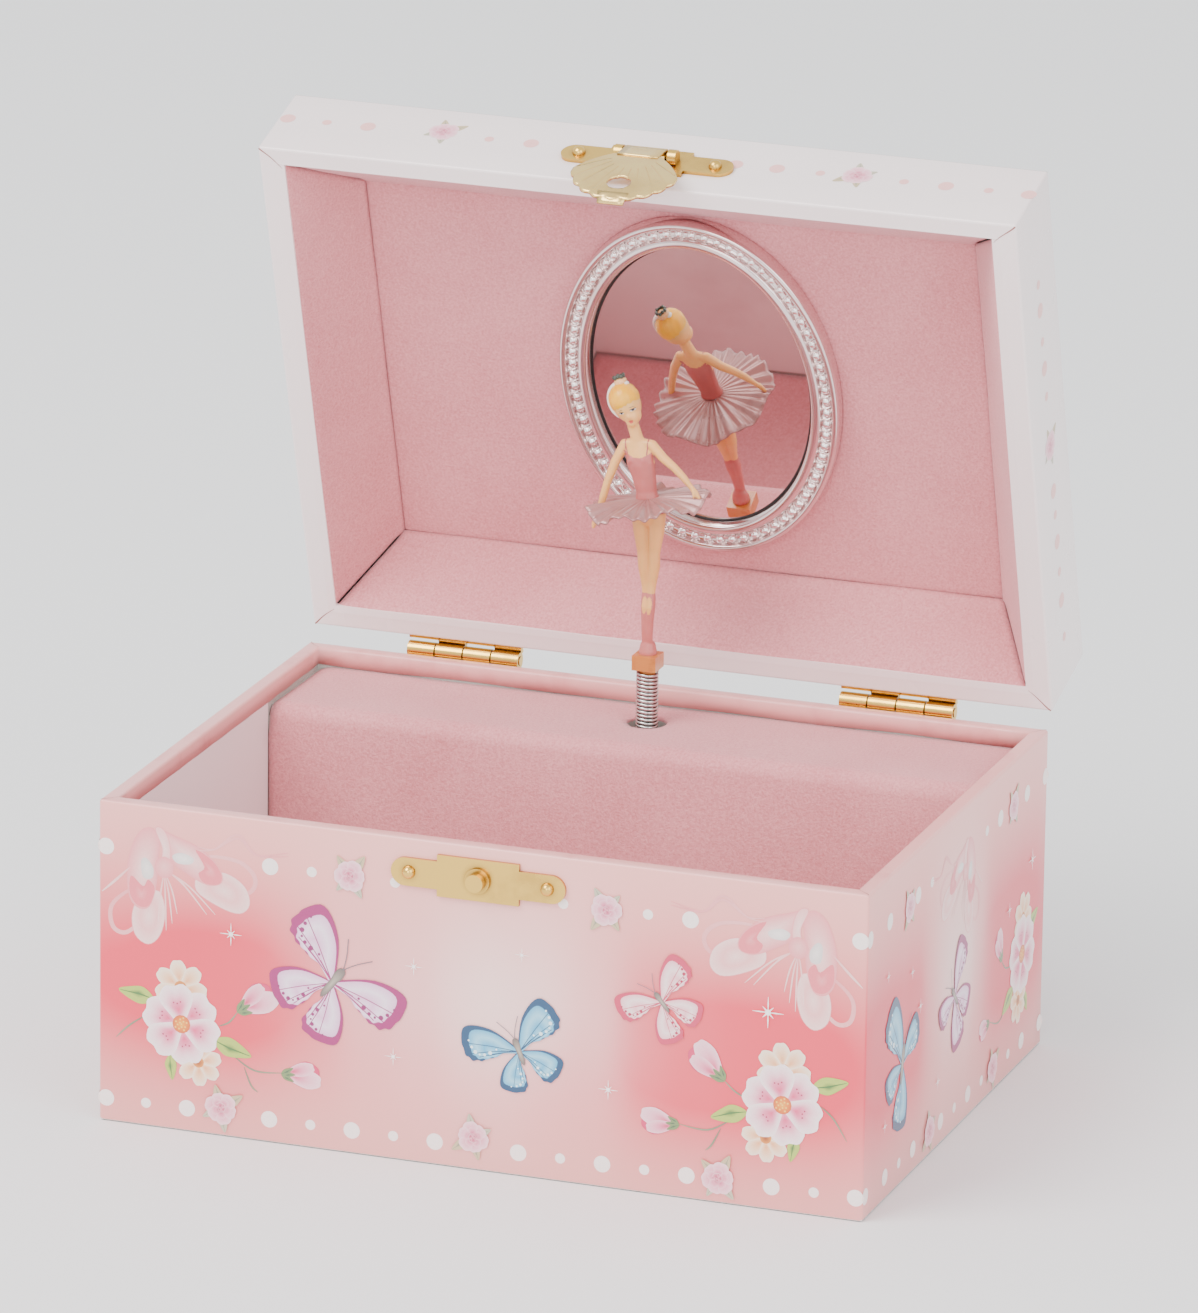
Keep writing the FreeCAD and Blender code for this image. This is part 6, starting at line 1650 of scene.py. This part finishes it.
SLIPPERS = along([(-0.62, 0.2, 14.6, 0.85, 0.95), (-0.55, -0.1, 12.4, 0.95, 1.15),
                  (-0.5, -0.4, 9.8, 0.8, 0.85),
                  (-0.45, -0.5, 7.2, 0.72, 0.75), (-0.4, -0.4, 4.4, 0.66, 0.66)]) + \
    along([(0.6, -0.2, 14.6, 0.85, 0.95), (0.55, -0.45, 12.4, 0.95, 1.15), (0.5, -0.6, 9.8, 0.8, 0.85),
           (0.45, -0.6, 7.2, 0.72, 0.75), (0.4, -0.4, 4.4, 0.66, 0.66)])
STAND = along([(0, 0, 4.6, 1.55, 1.4), (0, 0, 3.4, 1.8, 1.7)])
HEAD_UP = Vector((-0.366, 0.0, 0.93))
HEAD_SIDE = Vector((0.93, 0.0, 0.366))
HEAD = Vector((-5.0, -0.1, 52.0))


def ball_cloud(balls, turned=None, segments=14, rings=9):
    """One mesh of many balls, each (x, y, z, rx, ry, rz); turned leans them about their middles."""
    unit, web = [(0.0, 0.0, 1.0)], []
    for j in range(1, rings):
        a = math.pi * j / rings
        unit += [(math.sin(a) * math.cos(2 * math.pi * i / segments),
                  math.sin(a) * math.sin(2 * math.pi * i / segments),
                  math.cos(a)) for i in range(segments)]
    last = len(unit)
    unit.append((0.0, 0.0, -1.0))
    for i in range(segments):
        k = (i + 1) % segments
        web += [(0, 1 + i, 1 + k), (last, last - segments + k, last - segments + i)]
        for j in range(rings - 2):
            top = 1 + j * segments
            web.append((top + i, top + segments + i, top + segments + k, top + k))
    spots, faces = [], []
    for x, y, z, rx, ry, rz in balls:
        base, matrix = len(spots), Matrix.Translation((x, y, z)) @ (turned or Matrix())
        spots += [matrix @ Vector((p[0] * rx, p[1] * ry, p[2] * rz)) for p in unit]
        faces += [tuple(base + k for k in face) for face in web]
    mesh = bpy.data.meshes.new("balls")
    mesh.from_pydata(spots, [], faces)
    return mesh


def moulded(name, meshes, voxel, smoothing):
    """Fuse overlapping solids into one skin and soften the joins, as a mould would."""
    work = bmesh.new()
    for part in meshes:
        work.from_mesh(part)
    rough = bpy.data.meshes.new(name)
    work.to_mesh(rough)
    work.free()
    body = placed(name, rough)
    fused = body.modifiers.new("fuse", "REMESH")
    fused.mode, fused.voxel_size = "VOXEL", voxel
    soft = body.modifiers.new("soften", "SMOOTH")
    soft.factor, soft.iterations = 0.6, smoothing
    return baked(body)


lean = Matrix.Rotation(math.radians(-21.5), 4, "Y")
skull = ball_cloud([(HEAD.x, HEAD.y, HEAD.z, 2.7, 2.95, 3.75)], lean, 32, 20)
chin_at = HEAD - HEAD_UP * 3.7 + HEAD_SIDE * 0.25
jaw = ball_cloud([(chin_at.x, chin_at.y - 1.15, chin_at.z + 0.1, 1.05, 1.1, 1.0),
                  (chin_at.x - 0.2, chin_at.y - 0.55, chin_at.z + 1.2, 1.8, 1.95, 1.7)], lean, 24, 16)
eye_line = HEAD - HEAD_UP * 1.3 + HEAD_SIDE * 0.6
nose_at = eye_line - HEAD_UP * 1.0
nose = ball_cloud([(nose_at.x, HEAD.y - 2.5, nose_at.z, 0.3, 0.4, 0.5)], lean, 12, 8)
flesh = moulded("dancer_body",
                [ball_cloud(TORSO + BUST + NECK_BALLS + LEFT_ARM + RIGHT_ARM + THUMBS + LEFT_LEG
                                           + RIGHT_LEG + SLIPPERS + STAND), skull, jaw, nose], 0.2, 4)


def paint_by(mesh, choose):
    """Paint each point by its place."""
    layer = mesh.color_attributes.new("Paint", "FLOAT_COLOR", "POINT")
    for vertex, cell in zip(mesh.vertices, layer.data):
        cell.color = choose(vertex.co)


def body_tint(p):
    """Paint lines: slippers with an open instep, bodice with a scooped neck, skin elsewhere."""
    if p.z < 15.6:
        opening = p.y < -0.5 and ((abs(p.x) - 0.5) / 0.55) ** 2 + ((p.z - 12.9) / 1.7) ** 2 < 1
        return SKIN if opening or p.z > 15.2 else DEEP_ROSE
    mid = -0.7 - (p.z - 35) * 0.21
    away = abs(p.x - mid)
    neckline = 42.0 + 0.14 * away ** 2 + (0.6 if p.y > 0.6 else 0.0)
    if 31.2 < p.z < neckline and away < 3.1 + 0.04 * (p.z - 35) and not (p.z > 40.8 and away > 2.75):
        return ROSE
    return SKIN


paint_by(flesh, body_tint)
skin_tree = BVHTree.FromPolygons([v.co for v in flesh.vertices], [tuple(f.vertices) for f in flesh.polygons])


def painted_patch(mid, wide, tall, tint, turn=0.0, taper=0.0, sides=20, lift=0.025):
    """A thin spot of paint thrown onto the face from in front."""
    spots, faces = [], []
    tilt = Matrix.Rotation(math.radians(turn), 2)
    for ring_share in (0.0, 0.5, 1.0):
        for k in range(sides if ring_share else 1):
            t = 2 * math.pi * k / sides
            across = Vector((math.cos(t) * wide,
                             math.sin(t) * tall * (1 - taper * math.cos(t) ** 2))) * ring_share
            across = tilt @ across
            at = mid + HEAD_SIDE * across.x + HEAD_UP * across.y
            hit = skin_tree.ray_cast(Vector((at.x, -9.0, at.z)), Vector((0, 1, 0)))[0]
            spots.append((at.x, (hit.y if hit else HEAD.y - 2.8) - lift, at.z))
    for k in range(sides):
        j = (k + 1) % sides
        faces.append((0, 1 + k, 1 + j))
        faces.append((1 + k, 1 + sides + k, 1 + sides + j, 1 + j))
    mesh = bpy.data.meshes.new("patch")
    mesh.from_pydata(spots, [], faces)
    if mesh.polygons[0].normal.y > 0:
        mesh.flip_normals()
    paint_by(mesh, lambda p: tint)
    return mesh


BROWN, LIP = shade(150, 108, 70), shade(228, 92, 78)
patches = []
for way in (-1, 1):
    eye = eye_line + HEAD_SIDE * 1.08 * way
    patches += [painted_patch(eye, 0.48, 0.2, shade(236, 228, 220), 4 * way, lift=0.02),
                painted_patch(eye + HEAD_UP * 0.03, 0.24, 0.2, shade(34, 38, 46), lift=0.035),
                painted_patch(eye + HEAD_UP * 0.19, 0.52, 0.1, shade(60, 50, 48), 3 * way, lift=0.04),
                painted_patch(eye + HEAD_UP * 0.62, 0.48, 0.06, BROWN, -6 * way, lift=0.03)]
mouth_at = eye_line - HEAD_UP * 2.05
patches += [painted_patch(mouth_at + HEAD_UP * 0.12, 0.5, 0.2, LIP, taper=0.5, lift=0.03),
            painted_patch(mouth_at - HEAD_UP * 0.14, 0.36, 0.2, LIP, lift=0.035)]

# Hair in one soft waved shell drawn back to a bun, the white band behind it, and the crown.
hair_mid = HEAD + HEAD_UP * 0.95 - HEAD_SIDE * 0.15
hair = ball_cloud([(hair_mid.x, hair_mid.y + 0.04, hair_mid.z, 2.9, 3.18, 3.1)], lean, 48, 32)
for vertex in hair.vertices:
    rel = vertex.co - hair_mid
    wave = 0.05 * math.sin(rel.dot(HEAD_SIDE) * 7.5)
    vertex.co += rel.normalized() * wave
band_balls = []
for k in range(0, 41):
    t = math.radians(-138 + 170 * k / 40)
    at = HEAD + Vector((0, 0.3,
                        0)) + HEAD_SIDE * (3.05 * math.sin(t) - 0.3) + HEAD_UP * (0.6 + 3.5 * math.cos(t))
    band_balls.append((at.x, at.y, at.z, 0.42, 0.7, 0.42))
band = moulded("band", [ball_cloud(band_balls, None, 14, 10)], 0.14, 3)
bun_at = HEAD + HEAD_UP * 4.15 + HEAD_SIDE * 0.15 + Vector((0, 0.4, 0))
bun = ball_cloud([(bun_at.x, bun_at.y, bun_at.z, 1.25, 1.3, 1.05)], lean, 28, 18)
crown_balls = []
for k in range(9):
    t = 2 * math.pi * k / 9
    at = bun_at + HEAD_UP * (0.95 + 0.18 * (k % 2)) + HEAD_SIDE * 0.95 * math.cos(t)
    at.y += 0.95 * math.sin(t)
    crown_balls.append((at.x, at.y, at.z, 0.36, 0.36, 0.42))
crown = moulded("crown", [ball_cloud(crown_balls, lean, 12, 8)], 0.12, 1)
straps = []
for start, top in (((-4.6, -1.5, 42.5), (-4.9, -0.2, 44.95)), ((-0.3, -1.45, 42.7), (-0.4, -0.15, 45.1))):
    for k in range(15):
        hit = skin_tree.find_nearest(Vector(start).lerp(Vector(top), k / 14))[0]
        straps.append((hit.x, hit.y, hit.z, 0.16, 0.16, 0.16))
strap_mesh = moulded("straps", [ball_cloud(straps, None, 10, 6)], 0.08, 1)
trim = [(hair, lambda p: HAIR_TINT), (band, lambda p: WHITE_TINT), (bun, lambda p: shade(236, 178, 120)),
        (crown, lambda p: CROWN_TINT), (strap_mesh, lambda p: ROSE)]
for mesh, choose in trim:
    paint_by(mesh, choose)


def one_mesh(name, meshes, matrix):
    """Join meshes with their paint and put them in place."""
    holders = [placed(name, mesh) for mesh in meshes]
    with bpy.context.temp_override(active_object=holders[0], selected_objects=holders,
                                   selected_editable_objects=holders, object=holders[0]):
        bpy.ops.object.join()
    mesh = holders[0].data
    bpy.data.objects.remove(holders[0], do_unlink=True)
    mesh.transform(matrix)
    return mesh


STANDING = Matrix.Translation(FOOT) @ Matrix.Diagonal((MM, MM, MM, 1))
dancer = new_piece("dancer_body",
                   one_mesh("dancer_body", [flesh] + [mesh for mesh, _ in trim] + patches, STANDING),
                   "ballerina", figure_paint)
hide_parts("ballerina_figure")

# Skirt: one pearl moulding, pleated from the waist, its rim waved and higher at the right.
pearl = worn_finish("pearl_tutu", (180, 0.26, 0.4, 900, 0.06), shade(176, 126, 122), shade(146, 98, 98),
                    Metallic=0.25, Coat_Weight=0.5, Coat_Roughness=0.15)
SKIRT_MID, SKIRT_WIDE, PLEATS = Vector((-0.5, 0.0, 33.9)), 11.9, 30


def skirt_mesh():
    """The pleated disc, two skins 0.32 mm apart."""
    turns, rows = 360, 18
    spots, faces = [], []
    for layer in (0, 1):
        for i in range(turns):
            t = 2 * math.pi * i / turns
            for k in range(rows + 1):
                share = k / rows
                fold = math.sin(PLEATS * t + 1.3 * math.sin(5 * t) + 0.8 * math.sin(3 * t + 1))
                scallop = 1 + 0.022 * fold * share
                away = 1.7 + (SKIRT_WIDE - 1.7) * share * scallop
                rise = 0.07 + 0.27 * share ** 1.2
                height = -1.0 * share ** 2 + rise * fold + 0.75 * share ** 2 * math.sin(7 * t + 1.2) \
                    + 0.4 * share ** 2 * math.sin(4 * t + 0.4)
                if share > 0.96:
                    height -= 0.12
                spots.append((away * math.cos(t), away * math.sin(t), height - (0.32 if layer else 0.0)))
    size, half = rows + 1, turns * (rows + 1)
    for i in range(turns):
        j = (i + 1) % turns
        for k in range(rows):
            p, q, r, s = i * size + k, j * size + k, j * size + k + 1, i * size + k + 1
            faces += [(p, s, r, q), (half + p, half + q, half + r, half + s)]
        a, b = i * size + rows, j * size + rows
        faces.append((a, half + a, half + b, b))
        faces.append((i * size, j * size, half + j * size, half + i * size))
    mesh = solid_mesh("dancer_skirt", spots, faces)
    mesh.transform(STANDING @ Matrix.Translation(SKIRT_MID) @ Matrix.Rotation(math.radians(-9), 4, "Y"))
    return mesh


skirt = new_piece("dancer_skirt", skirt_mesh(), "ballerina", pearl)
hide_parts("ballerina_tutu")

# Foot block: amber plastic gripping the top of the spring, its edges rounded.
amber = worn_finish("amber_plastic", (240, 0.25, 0.38, 900, 0.08), AMBER, shade(176, 100, 44),
                    Subsurface_Weight=0.25, Subsurface_Scale=0.002, Coat_Weight=0.3, Coat_Roughness=0.12)
dress(amber, "figure_block")
